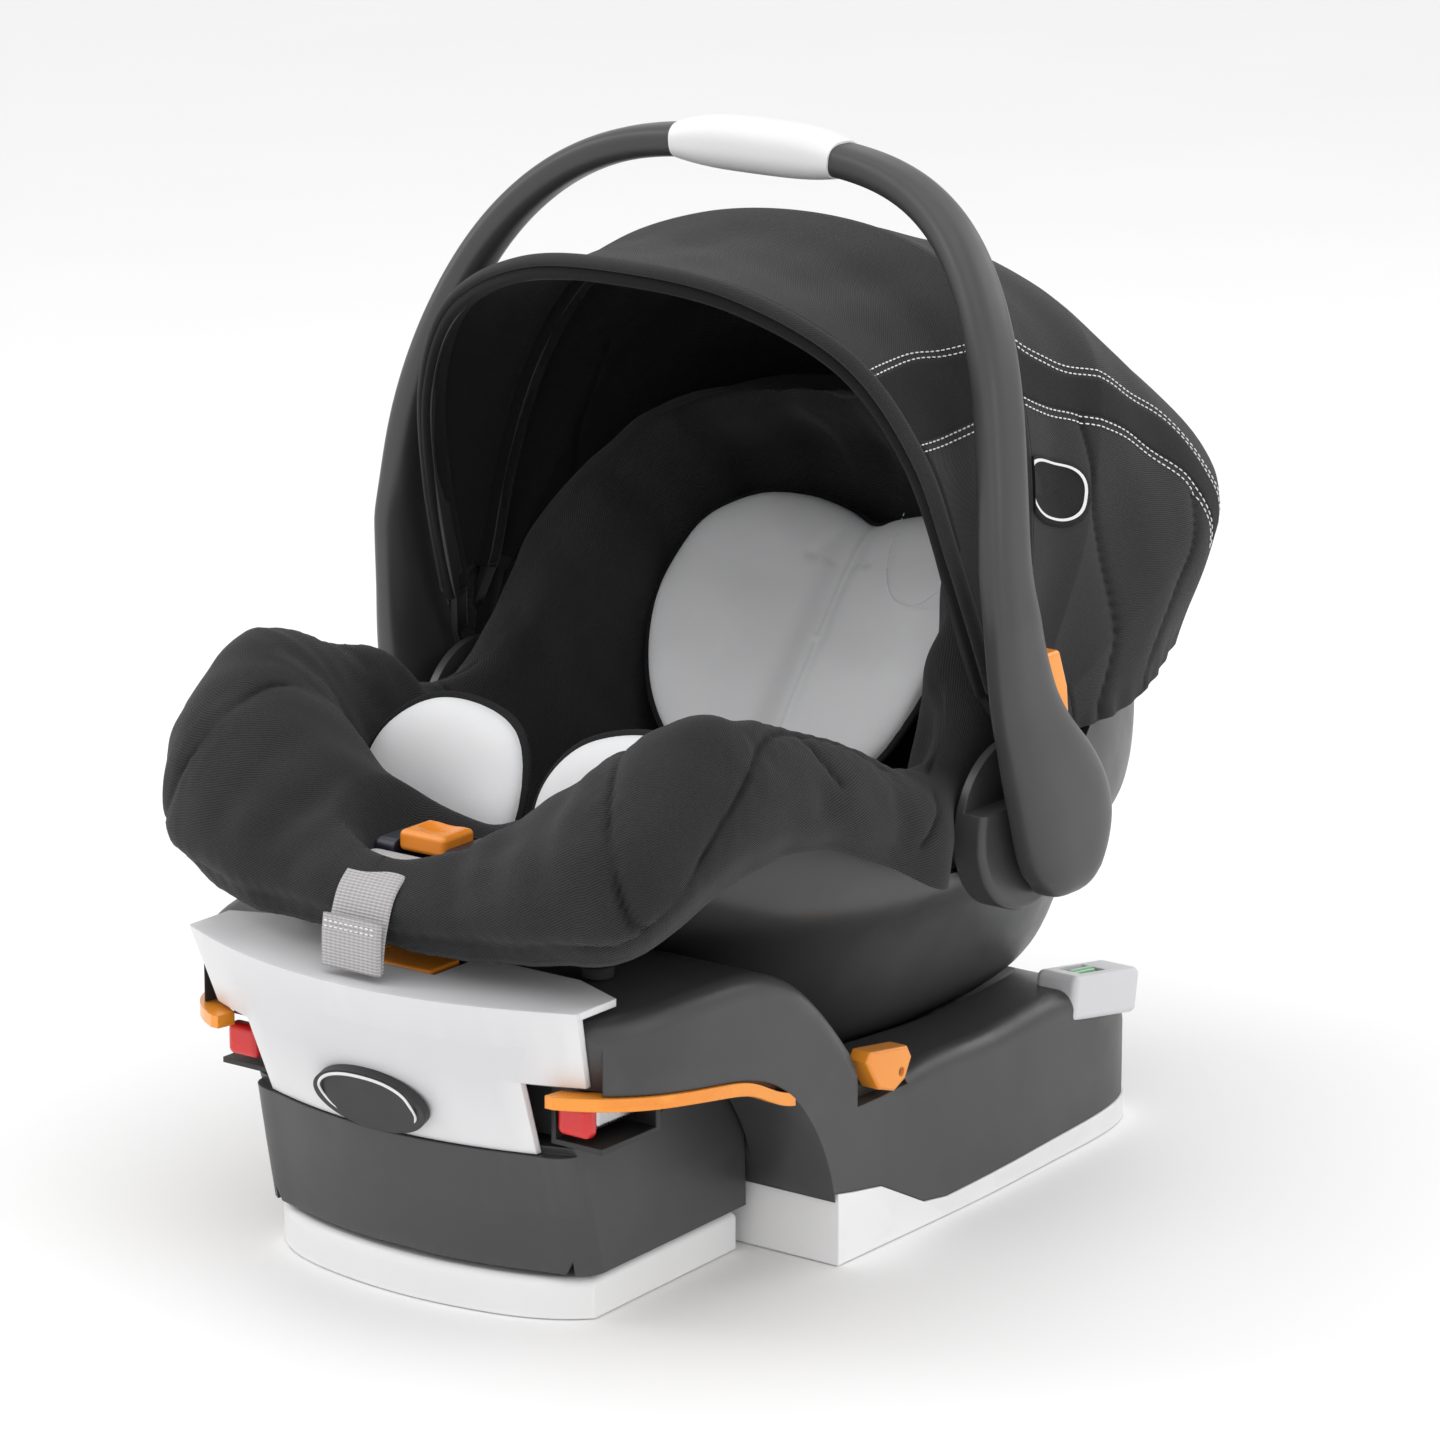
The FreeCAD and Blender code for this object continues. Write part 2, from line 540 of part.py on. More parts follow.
def arch_section(t, wide, thick):
    """An oval cross-section wire square to the arch at t."""
    step = min(0.01, t * 0.5, (math.pi - t) * 0.5)
    here = arch_point(t)
    ahead = arch_point(t + step) - arch_point(t - step)
    ahead.normalize()
    depth = ahead.cross(V(math.cos(t), 0.0, math.sin(t)))
    depth.normalize()
    out = depth.cross(ahead)
    points = []
    for i in range(16):
        a = 2 * math.pi * i / 16
        ca = math.copysign(abs(math.cos(a)) ** 0.8, math.cos(a))
        sa = math.copysign(abs(math.sin(a)) ** 0.8, math.sin(a))
        points.append(here + depth * (ca * wide / 2) + out * (sa * thick / 2))
    return Part.Wire([spline([(p.x, p.y, p.z) for p in points], closed=True)])


def tube_size(t):
    """Width and thickness of the handle tube at t: it flares towards the hub."""
    rise = max(math.sin(t), 0.0) ** (2 / ARCH_POWER)
    flare = math.exp(-(rise * ARCH_RISE / 75) ** 2)
    return 26 + 13 * (1 - rise) + 44 * flare, 18.5 + 1.5 * (1 - rise)


def arch_t(x):
    """The parameter where the arch is x from the middle plane."""
    return math.acos((x / ARCH_HALF) ** (ARCH_POWER / 2))


def make_handle():
    """The handle moulding, its soft grip, inner trim and two release buttons."""
    stops = [0.004, 0.02, 0.05, 0.1, 0.17, 0.27, 0.4, 0.58, 0.8, 1.1, 1.35, 1.5708]
    stops += [math.pi - t for t in reversed(stops[:-1])]
    tube = Part.makeLoft([arch_section(t, *tube_size(t)) for t in stops], True, False)
    hubs = []
    for side in (1, -1):
        disc = cyl(43, (199.4 * side, 16, HUB_Z + 1), (228 * side, 16, HUB_Z + 1))
        disc = disc.makeFillet(9, [e for e in disc.Edges if abs(e.BoundBox.XMax + e.BoundBox.XMin) > 455])
        hubs.append(disc)
    bow = tube.fuse(hubs)
    for side in (1, -1):
        bow = bow.cut(cyl(9.0, (180 * side, HUB_Y, HUB_Z), (225 * side, HUB_Y, HUB_Z)))
        bow = bow.cut(cyl(54, (150 * side, HUB_Y, HUB_Z), (199.2 * side, HUB_Y, HUB_Z)))
        low, high = sorted((199.5 * side, 214.5 * side))
        bow = bow.cut(box(low, high, -8, 70, 279, 323.5))
    grip_stops = [arch_t(x) for x in (54, 44, 30, 15, 0)]
    grip_stops += [math.pi - t for t in reversed(grip_stops[:-1])]
    bulge = [20.5, 25, 28.5, 29.8, 30, 29.8, 28.5, 25, 20.5]
    wires = [arch_section(t, 28 + 0.3 * (b - 20), b) for t, b in zip(grip_stops, bulge)]
    grip = Part.makeLoft(wires, True, False)
    cores = [arch_section(t, tube_size(t)[0] - 6, tube_size(t)[1] - 6) for t in grip_stops]
    room = Part.makeLoft(cores, True, False)
    bow = bow.cut(grip).fuse(room)
    add("handle_bow", bow)
    add("handle_grip", grip.cut(room))

    button = side_prism([(-2, 283), (25, 281), (23, 300), (15, 321), (-2, 321)], 200, 214)
    button = button.makeFillet(2.5, [e for e in button.Edges if e.BoundBox.YMax > 14])
    add_pair("handle_button", button)


# ---- canopy ---------------------------------------------------------------------
FRONT_BOW = [(187, -8, 300), (179, -33, 372), (166, -50, 432), (133, -66, 482), (72, -82, 512), (0, -90, 520)]
MID_BOW = [(187, 22, 310), (180, 38, 380), (164, 52, 440), (132, 66, 488), (72, 78, 514), (0, 82, 522)]
REAR_TOP = [(186, 44, 300), (180, 90, 366), (162, 128, 424), (130, 156, 460), (72, 174, 484), (0, 180, 490)]
REAR_HIGH = [(190, 60, 284), (192, 126, 316), (186, 200, 346), (153, 257, 370), (82, 285, 386), (0, 293, 390)]
REAR_EDGE = [(191, 66, 262), (191, 112, 264), (180, 168, 276), (150, 222, 290), (84, 256, 302), (0, 268, 306)]


def full_arch(half, shrink=0.0):
    """Mirrors a right-hand list of points into a whole arch, pulled in by shrink."""
    pts = []
    for x, y, z in half:
        d = V(x, y - CANOPY_Y, z - CANOPY_Z)
        k = 1 - shrink / d.Length
        pts.append((d.x * k, d.y * k + CANOPY_Y, d.z * k + CANOPY_Z))
    return pts + [(-x, y, z) for x, y, z in reversed(pts[:-1])]


def skin(arches, thickness):
    """A thin shell lofted across arches, from the outside in."""
    def strip(shrink):
        return Part.makeLoft([Part.Wire([spline(full_arch(a, shrink))]) for a in arches], False, False)
    outer = strip(0.0)
    inner = strip(thickness)
    faces = outer.Faces + inner.Faces
    for k in (0, -1):
        a = Part.Wire([spline(full_arch(arches[k], 0.0))])
        b = Part.Wire([spline(full_arch(arches[k], thickness))])
        faces += Part.makeRuledSurface(a, b).Faces
    for end in (0, -1):
        faces += Part.makeRuledSurface(end_edge(outer, end), end_edge(inner, end)).Faces
    shell = Part.makeShell(faces)
    shell.sewShape()
    return Part.makeSolid(shell)


def end_edge(face, end):
    """The border edge of a lofted strip on its right (0) or left (-1) end."""
    edges = [e for e in face.Edges if e.BoundBox.XMin > 150 or e.BoundBox.XMax < -150]
    edges.sort(key=lambda e: -e.BoundBox.XMin)
    return edges[end]


def bow_tube(half, width, thick, shrink):
    """A flat plastic bow under the canopy, following an arch."""
    path = spline(full_arch(half, shrink))
    curve = path.Curve
    wires = []
    first, last = path.ParameterRange
    for i in range(17):
        u = first + (last - first) * i / 16.0
        p = path.valueAt(u)
        tangent = path.tangentAt(u)
        out = V(p.x, p.y - CANOPY_Y, p.z - CANOPY_Z)
        out = out - tangent * out.dot(tangent)
        out.normalize()
        across = tangent.cross(out)
        corners = [p + across * width / 2 + out * thick / 2, p - across * width / 2 + out * thick / 2,
                   p - across * width / 2 - out * thick / 2, p + across * width / 2 - out * thick / 2]
        wires.append(Part.makePolygon(corners + corners[:1]))
    return Part.makeLoft(wires, True, False)


def square(x, y, z, half_x, half_y):
    """A small closed rectangle level with the ground."""
    corners = [V(x - half_x, y - half_y, z), V(x - half_x, y + half_y, z), V(x + half_x, y + half_y, z),
               V(x + half_x, y - half_y, z)]
    return Part.makePolygon(corners + corners[:1])


def bow_end(foot, side, pad_x):
    """The pivot disc and arm that carry one end of a bow, whose foot is (x, y, z)."""
    disc = cyl(11, ((pad_x - 4.8) * side, CANOPY_Y, CANOPY_Z), (pad_x * side, CANOPY_Y, CANOPY_Z))
    arm = square((pad_x - 2.4) * side, CANOPY_Y, CANOPY_Z, 2.2, 5)
    knee_y = CANOPY_Y + (foot[1] - CANOPY_Y) * 0.45
    knee = square((pad_x - 2.4) * side, knee_y, 271, 2.2, 4.5)
    tip = square(foot[0] * side, foot[1], foot[2] + 3, 2.5, 4.5)
    return disc.fuse(Part.makeLoft([arm, knee, tip], True, True))


def make_canopy():
    """Two bows that swing on the carrier, and the fabric stretched over them."""
    bows = (("canopy_mid_bow", MID_BOW, 195.8), ("canopy_front_bow", FRONT_BOW, 190.6))
    for name, half, pad_x in bows:
        foot = full_arch(half, BOW_INSET)[0]
        bow = bow_tube(half, 9, 3, BOW_INSET)
        bow = bow.fuse([bow_end(foot, side, pad_x) for side in (1, -1)])
        for side in (1, -1):
            bow = bow.cut(cyl(4.05, (150 * side, CANOPY_Y, CANOPY_Z), (196 * side, CANOPY_Y, CANOPY_Z)))
        add(name, bow)
    add_set("canopy_pivots", cyl(3.95, (180.4, CANOPY_Y, CANOPY_Z), (196.4, CANOPY_Y, CANOPY_Z)))
    add("canopy_front_panel", skin([FRONT_BOW, MID_BOW], 1.8))
    add("canopy_rear_panel", skin([MID_BOW, REAR_TOP, REAR_HIGH, REAR_EDGE], 1.8))


def let_in():
    """Lets each fitting into the part that holds it, so that no two pieces share space."""
    for host, fittings in HELD_IN.items():
        for fitting in fittings:
            PARTS[host] = PARTS[host].cut(PARTS[fitting])
        PARTS[host] = max(PARTS[host].Solids, key=lambda solid: solid.Volume)
    for side in ("right", "left"):
        pocket = PARTS["latch_pocket_" + side]
        step = 1.0 if side == "left" else -1.0
        for k in range(7):
            lever = PARTS["foot_lever_" + side].translated(V(step * k, 0, 0))
            pocket = pocket.cut(lever)
            if k in (3, 6):
                PARTS["base_shell"] = PARTS["base_shell"].cut(lever)
        PARTS["latch_pocket_" + side] = max(pocket.Solids, key=lambda solid: solid.Volume)


HELD_IN = {
    "seat_cover": ["carrier_shell", "canopy_rear_panel", "foam_liner", "shoulder_strap_right",
                   "shoulder_strap_left"],
    "lower_insert": ["buckle_tongues", "buckle_housing", "hip_straps", "upper_insert",
                     "shoulder_strap_right", "shoulder_strap_left"],
}

for step in (make_base, make_base_fittings, make_foot, make_lockoffs, make_carrier, make_soft_seat,
             make_harness, make_handle, make_canopy, let_in):
    step()
os.makedirs("parts", exist_ok=True)
for name, shape in sorted(PARTS.items()):
    limits = shape.BoundBox
    print(name, shape.isValid(), len(shape.Solids), round(shape.Volume / 1000, 1),
          [round(v) for v in (limits.XMin, limits.XMax, limits.YMin, limits.YMax, limits.ZMin, limits.ZMax)])
    shape.exportStep("parts/%s.step" % name)
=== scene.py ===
"""Looks for the infant car seat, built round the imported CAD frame. Metres, row frame."""

import json
import math

import bpy
import numpy as np
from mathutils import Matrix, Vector


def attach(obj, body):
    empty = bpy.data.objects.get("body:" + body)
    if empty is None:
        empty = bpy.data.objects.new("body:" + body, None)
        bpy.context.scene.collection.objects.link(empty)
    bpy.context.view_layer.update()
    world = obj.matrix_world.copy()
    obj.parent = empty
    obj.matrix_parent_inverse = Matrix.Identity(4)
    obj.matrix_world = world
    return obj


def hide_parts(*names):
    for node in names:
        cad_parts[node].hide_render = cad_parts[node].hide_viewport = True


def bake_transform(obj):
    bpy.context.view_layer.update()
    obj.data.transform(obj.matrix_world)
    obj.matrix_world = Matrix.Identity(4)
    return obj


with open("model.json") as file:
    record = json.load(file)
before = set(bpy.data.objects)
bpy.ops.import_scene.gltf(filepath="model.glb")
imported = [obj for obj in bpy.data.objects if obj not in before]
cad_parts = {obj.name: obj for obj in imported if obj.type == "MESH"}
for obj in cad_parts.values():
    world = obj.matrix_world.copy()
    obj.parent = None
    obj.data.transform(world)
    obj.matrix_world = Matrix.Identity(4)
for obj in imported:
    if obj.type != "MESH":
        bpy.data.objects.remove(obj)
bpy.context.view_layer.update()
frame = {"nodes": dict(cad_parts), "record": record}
NODES = frame["nodes"]
MM = 0.001
rng = np.random.default_rng(7)


# ---- numbers --------------------------------------------------------------------
def smooth(x, lo, hi):
    """0 below lo, 1 above hi, smooth between."""
    t = np.clip((np.asarray(x, float) - lo) / (hi - lo), 0, 1)
    return t * t * (3 - 2 * t)


def catmull(points, count, closed=False):
    """count points along a centripetal-free Catmull-Rom through points."""
    p = np.asarray(points, float)
    n = len(p)
    last = n if closed else n - 1
    t = np.linspace(0, last, count, endpoint=not closed)
    i = np.minimum(t.astype(int), last - 1)
    f = (t - i)[:, None]
    if closed:
        a, b, c, d = p[(i - 1) % n], p[i % n], p[(i + 1) % n], p[(i + 2) % n]
    else:
        ext = np.vstack([2 * p[0] - p[1], p, 2 * p[-1] - p[-2]])
        a, b, c, d = ext[i], ext[i + 1], ext[i + 2], ext[i + 3]
    return 0.5 * (2 * b + (c - a) * f + (2 * a - 5 * b + 4 * c - d) * f ** 2 + (3 * b - a - 3 * c + d) * f ** 3)


def even(points, count, closed=False):
    """count points evenly spaced along a polyline."""
    p = np.asarray(points, float)
    if closed:
        p = np.vstack([p, p[:1]])
    d = np.r_[0, np.cumsum(np.linalg.norm(np.diff(p, axis=0), axis=1))]
    s = np.linspace(0, d[-1], count, endpoint=not closed)
    return np.stack([np.interp(s, d, p[:, k]) for k in range(p.shape[1])], 1)


def value_noise(p, scale, seed=0):
    """Smooth noise in about -1..1 at (n, k) points, from a few rotated sine sheets."""
    r = np.random.default_rng(seed)
    q = np.asarray(p, float) / scale
    out = np.zeros(q.shape[:-1])
    for _ in range(7):
        d = r.normal(size=q.shape[-1])
        d /= np.linalg.norm(d)
        out += np.sin(q @ d * r.uniform(0.7, 1.5) * 6.283 + r.uniform(0, 6.283))
    return out / 3.2


# ---- meshes ---------------------------------------------------------------------
def new_object(name, verts, faces, uvs=None, smooth_shade=True):
    mesh = bpy.data.meshes.new(name)
    mesh.from_pydata([tuple(v) for v in verts], [], [tuple(int(i) for i in f) for f in faces])
    if uvs is not None:
        layer = mesh.uv_layers.new(name="UVMap")
        loops = np.zeros(len(mesh.loops), int)
        mesh.loops.foreach_get("vertex_index", loops)
        layer.data.foreach_set("uv", np.asarray(uvs, np.float32)[loops].ravel())
    mesh.polygons.foreach_set("use_smooth", [smooth_shade] * len(mesh.polygons))
    mesh.validate()
    mesh.update()
    obj = bpy.data.objects.new(name, mesh)
    bpy.context.scene.collection.objects.link(obj)
    return obj


def grid_faces(nu, nv, close_u=False, flip=False):
    faces = []
    for i in range(nu if close_u else nu - 1):
        for j in range(nv - 1):
            a, b = i * nv + j, ((i + 1) % nu) * nv + j
            quad = (a, b, b + 1, a + 1)
            faces.append(quad[::-1] if flip else quad)
    return faces


def grid_uv(P, close_u=False):
    """UVs in metres that follow the surface."""
    du = np.linalg.norm(np.diff(P, axis=0), axis=2).mean(1)
    dv = np.linalg.norm(np.diff(P, axis=1), axis=2)
    u = np.r_[0, np.cumsum(du)]
    v = np.concatenate([np.zeros((P.shape[0], 1)), np.cumsum(dv, 1)], 1)
    return np.stack([np.repeat(u[:, None], P.shape[1], 1), v], -1).reshape(-1, 2)


def grid_normals(P, close_u=False):
    if close_u:
        du = np.roll(P, -1, 0) - np.roll(P, 1, 0)
    else:
        du = np.gradient(P, axis=0)
    dv = np.gradient(P, axis=1)
    n = np.cross(du, dv)
    return n / np.maximum(np.linalg.norm(n, axis=-1, keepdims=True), 1e-12)


def grid_object(name, P, close_u=False, flip=False, thickness=0.0, subdiv=0, offset=-1.0, cap=False):
    faces = grid_faces(P.shape[0], P.shape[1], close_u, flip)
    verts, uvs = P.reshape(-1, 3), grid_uv(P)
    if cap:
        nu, nv = P.shape[:2]
        verts = np.vstack([verts, P[:, -1].mean(0)])
        uvs = np.vstack([uvs, uvs.reshape(nu, nv, 2)[:, -1].mean(0)])
        for i in range(nu):
            tri = (i * nv + nv - 1, ((i + 1) % nu) * nv + nv - 1, nu * nv)
            faces.append(tri[::-1] if flip else tri)
    obj = new_object(name, verts, faces, uvs)
    if subdiv:
        m = obj.modifiers.new("sub", "SUBSURF")
        m.levels = m.render_levels = subdiv
    if thickness:
        m = obj.modifiers.new("thick", "SOLIDIFY")
        m.thickness = thickness
        m.offset = offset
    return obj


def tube(name, path, width, height=None, closed=False, sides=10, up=None, taper=None):
    """A swept oval bar; width across, height along the up direction."""
    path = np.asarray(path, float)
    height = width if height is None else height
    n = len(path)
    t = (np.roll(path, -1, 0) - np.roll(path, 1, 0)) if closed else np.gradient(path, axis=0)
    t /= np.maximum(np.linalg.norm(t, axis=1, keepdims=True), 1e-12)
    if up is None:
        ref = np.tile([0.0, 0.0, 1.0], (n, 1))
        ref[np.abs(t[:, 2]) > 0.95] = [0, 1, 0]
    else:
        ref = np.broadcast_to(np.asarray(up, float), (n, 3))
    side = np.cross(t, ref)
    side /= np.maximum(np.linalg.norm(side, axis=1, keepdims=True), 1e-12)
    upv = np.cross(side, t)
    a = np.linspace(0, 2 * math.pi, sides, endpoint=False)
    k = np.ones(n) if taper is None else np.asarray(taper)
    ring = (side[:, None] * (np.cos(a) * width / 2)[None, :, None] + upv[:, None] * (np.sin(a) * height / 2)[None, :, None])
    P = path[:, None] + ring * k[:, None, None]
    verts = P.reshape(-1, 3)
    faces = []
    for i in range(n if closed else n - 1):
        for j in range(sides):
            a0, a1 = i * sides + j, i * sides + (j + 1) % sides
            b0, b1 = ((i + 1) % n) * sides + j, ((i + 1) % n) * sides + (j + 1) % sides
            faces.append((a0, a1, b1, b0))
    if not closed:
        faces.append(tuple(range(sides))[::-1])
        faces.append(tuple((n - 1) * sides + j for j in range(sides)))
    length = np.r_[0, np.cumsum(np.linalg.norm(np.diff(path, axis=0), axis=1))]
    uv = np.stack([np.repeat(length, sides), np.tile(np.arange(sides) * width * 3 / sides, n)], 1)
    return new_object(name, verts, faces, uv)


def strip(name, path, side, width, thick, round_edge=True):
    """A flat webbing strap with a rounded edge, along path; side is across the strap."""
    path = np.asarray(path, float)
    side = np.broadcast_to(np.asarray(side, float), path.shape)
    t = np.gradient(path, axis=0)
    t /= np.linalg.norm(t, axis=1, keepdims=True)
    nrm = np.cross(side, t)
    nrm /= np.linalg.norm(nrm, axis=1, keepdims=True)
    w = width / 2
    prof = [(-w, 0), (-w + thick * 0.35, thick / 2), (-w * 0.6, thick / 2), (0, thick / 2), (w * 0.6, thick / 2),
            (w - thick * 0.35, thick / 2), (w, 0), (w - thick * 0.35, -thick / 2), (w * 0.6, -thick / 2), (0, -thick / 2),
            (-w * 0.6, -thick / 2), (-w + thick * 0.35, -thick / 2)]
    m = len(prof)
    P = np.stack([path + side * a + nrm * b for a, b in prof], 1)
    faces = []
    n = len(path)
    for i in range(n - 1):
        for j in range(m):
            faces.append((i * m + j, i * m + (j + 1) % m, (i + 1) * m + (j + 1) % m, (i + 1) * m + j))
    faces.append(tuple(range(m))[::-1])
    faces.append(tuple((n - 1) * m + j for j in range(m)))
    length = np.r_[0, np.cumsum(np.linalg.norm(np.diff(path, axis=0), axis=1))]
    uv = np.stack([np.repeat(length, m), np.tile([a for a, b in prof], n)], 1)
    return new_object(name, P.reshape(-1, 3), faces, uv)


def stitches(name, path, stitch=0.0036, gap=0.0017, radius=0.00045, lift=None):
    """A run of separate raised stitches along a path."""
    path = np.asarray(path, float)
    length = np.linalg.norm(np.diff(path, axis=0), axis=1).sum()
    count = max(2, int(length / (stitch + gap)))
    dense = even(path, count * 6 + 1)
    verts, faces = [], []
    for k in range(count):
        seg = dense[k * 6:k * 6 + 5]
        t = seg[-1] - seg[0]
        t /= max(np.linalg.norm(t), 1e-9)
        ref = np.array([0, 0, 1.0]) if abs(t[2]) < 0.9 else np.array([0, 1.0, 0])
        s = np.cross(t, ref)
        s /= np.linalg.norm(s)
        u = np.cross(s, t)
        base = len(verts)
        for i, p in enumerate(seg):
            r = radius * (0.45 if i in (0, 4) else 1.0)
            for j in range(6):
                a = j * math.pi / 3
                verts.append(p + s * math.cos(a) * r + u * math.sin(a) * r)
        for i in range(4):
            for j in range(6):
                faces.append((base + i * 6 + j, base + i * 6 + (j + 1) % 6, base + (i + 1) * 6 + (j + 1) % 6, base + (i + 1) * 6 + j))
        faces.append(tuple(base + j for j in range(6))[::-1])
        faces.append(tuple(base + 24 + j for j in range(6)))
    return new_object(name, verts, faces)


def join(name, objects):
    """Joins mesh objects into one piece."""
    objects = [o for o in objects if o is not None]
    for o in bpy.context.selected_objects:
        o.select_set(False)
    for o in objects:
        o.select_set(True)
    bpy.context.view_layer.objects.active = objects[0]
    bpy.ops.object.join()
    objects[0].name = name
    objects[0].select_set(False)
    return objects[0]


# ---- materials ------------------------------------------------------------------
def material(name):
    mat = bpy.data.materials.new(name)
    mat.use_nodes = True
    nt = mat.node_tree
    nt.nodes.clear()
    out = nt.nodes.new("ShaderNodeOutputMaterial")
    bsdf = nt.nodes.new("ShaderNodeBsdfPrincipled")
    nt.links.new(bsdf.outputs[0], out.inputs[0])
    return mat, nt, bsdf


def node(nt, kind, **props):
    n = nt.nodes.new(kind)
    for k, v in props.items():
        if k.startswith("in_"):
            n.inputs[k[3:].replace("_", " ")].default_value = v
        else:
            setattr(n, k, v)
    return n


def mix_color(nt, fac, a, b, blend="MIX"):
    m = nt.nodes.new("ShaderNodeMix")
    m.data_type = "RGBA"
    m.blend_type = blend
    for sock, val in ((m.inputs[0], fac), (m.inputs[6], a), (m.inputs[7], b)):
        if hasattr(val, "links") or hasattr(val, "is_linked"):
            nt.links.new(val, sock)
        elif isinstance(val, (int, float)):
            sock.default_value = val
        else:
            sock.default_value = (*val, 1.0) if len(val) == 3 else val
    return m.outputs[2]


def ramp(nt, value, lo, hi, out_lo=0.0, out_hi=1.0):
    r = nt.nodes.new("ShaderNodeMapRange")
    nt.links.new(value, r.inputs[0])
    for i, v in zip((1, 2, 3, 4), (lo, hi, out_lo, out_hi)):
        r.inputs[i].default_value = v
    return r.outputs[0]


def moulded(name, color, rough=0.42, grain=0.00006, grain_scale=1400.0, spread=0.12, bevel=0.0012, spec=0.5, coat=0.0):
    """Injection-moulded plastic: fine spark grain, faint tone drift, painted highlights on convex edges."""
    mat, nt, b = material(name)
    geo = node(nt, "ShaderNodeTexCoord")
    fine = node(nt, "ShaderNodeTexNoise", in_Scale=grain_scale, in_Detail=3.0, in_Roughness=0.6)
    drift = node(nt, "ShaderNodeTexNoise", in_Scale=9.0, in_Detail=3.0)
    smudge = node(nt, "ShaderNodeTexNoise", in_Scale=38.0, in_Detail=5.0)
    for t in (fine, drift, smudge):
        nt.links.new(geo.outputs["Object"], t.inputs["Vector"])
    light = tuple(min(1, c * (1 + spread) + 0.004) for c in color)
    dark = tuple(c * (1 - spread) for c in color)
    tone = mix_color(nt, ramp(nt, drift.outputs[0], 0.3, 0.7), dark, light)
    speck = mix_color(nt, ramp(nt, fine.outputs[0], 0.35, 0.75, 0.0, 0.35), tone, light)
    # painted highlight: convex edges (high pointiness) are lightened to stand in for the light they catch
    edge = node(nt, "ShaderNodeNewGeometry")
    wear_and_edge_highlight = mix_color(nt, ramp(nt, edge.outputs["Pointiness"], 0.53, 0.6, 0.0, 0.35), speck,
                     tuple(min(1, c * 1.5 + 0.02) for c in color))
    nt.links.new(wear_and_edge_highlight, b.inputs["Base Color"])
    nt.links.new(ramp(nt, smudge.outputs[0], 0.3, 0.7, rough - 0.045, rough + 0.055), b.inputs["Roughness"])
    b.inputs["Specular IOR Level"].default_value = spec
    if coat:
        b.inputs["Coat Weight"].default_value = coat
        b.inputs["Coat Roughness"].default_value = 0.12
    bump = node(nt, "ShaderNodeBump", in_Strength=0.55, in_Distance=grain)
    nt.links.new(fine.outputs[0], bump.inputs["Height"])
    if bevel:
        bev = node(nt, "ShaderNodeBevel", samples=4, in_Radius=bevel)
        nt.links.new(bev.outputs[0], bump.inputs["Normal"])
    nt.links.new(bump.outputs[0], b.inputs["Normal"])
    return mat


def twill(name, color, light, pitch=0.0012, depth=0.00028, rough=0.86, sheen=0.25, angle=0.9, contrast=1.0):
    """Woven twill on UVs in metres: diagonal ribs broken by the crossing threads."""
    mat, nt, b = material(name)
    uv = node(nt, "ShaderNodeTexCoord")
    rot = node(nt, "ShaderNodeMapping")
    rot.inputs["Rotation"].default_value = (0, 0, angle)
    nt.links.new(uv.outputs["UV"], rot.inputs["Vector"])
    ribs = node(nt, "ShaderNodeTexWave", wave_type="BANDS", bands_direction="X", in_Scale=0.314 / pitch, in_Distortion=0.25,
                in_Detail=1.0)
    ribs.inputs["Detail Scale"].default_value = 3.0
    cross = node(nt, "ShaderNodeTexWave", wave_type="BANDS", bands_direction="Y", in_Scale=0.314 / (pitch * 0.8), in_Distortion=0.4)
    nt.links.new(rot.outputs[0], ribs.inputs["Vector"])
    nt.links.new(rot.outputs[0], cross.inputs["Vector"])
    weave = node(nt, "ShaderNodeMath", operation="MULTIPLY_ADD")
    nt.links.new(cross.outputs["Fac"], weave.inputs[0])
    weave.inputs[1].default_value = 0.35
    nt.links.new(ribs.outputs["Fac"], weave.inputs[2])
    fuzz = node(nt, "ShaderNodeTexNoise", in_Scale=900.0, in_Detail=2.0)
    drift = node(nt, "ShaderNodeTexNoise", in_Scale=14.0, in_Detail=4.0)
    nt.links.new(uv.outputs["Object"], fuzz.inputs["Vector"])
    nt.links.new(uv.outputs["Object"], drift.inputs["Vector"])
    base = mix_color(nt, ramp(nt, weave.outputs[0], 0.15, 1.15, 0.0, contrast), color, light)
    fuzzy = mix_color(nt, ramp(nt, fuzz.outputs[0], 0.35, 0.7, 0.0, 0.45), base, tuple(c * 1.12 for c in light))
    wear_and_edge_highlight = mix_color(nt, ramp(nt, drift.outputs[0], 0.35, 0.65, 0.0, 0.22), fuzzy, tuple(c * 0.8 for c in color))
    # painted shade: the cloth is darkened along the pressed-in seam grooves, standing in for the shade inside them
    seam_shade = node(nt, "ShaderNodeAttribute", attribute_name="seam_shade")
    seam_shaded = mix_color(nt, seam_shade.outputs["Fac"], wear_and_edge_highlight, tuple(c * 0.25 for c in color))
    nt.links.new(seam_shaded, b.inputs["Base Color"])
    b.inputs["Roughness"].default_value = rough
    b.inputs["Specular IOR Level"].default_value = 0.25
    b.inputs["Sheen Weight"].default_value = sheen
    b.inputs["Sheen Roughness"].default_value = 0.45
    bump = node(nt, "ShaderNodeBump", in_Strength=0.8, in_Distance=depth)
    nt.links.new(weave.outputs[0], bump.inputs["Height"])
    nt.links.new(bump.outputs[0], b.inputs["Normal"])
    return mat


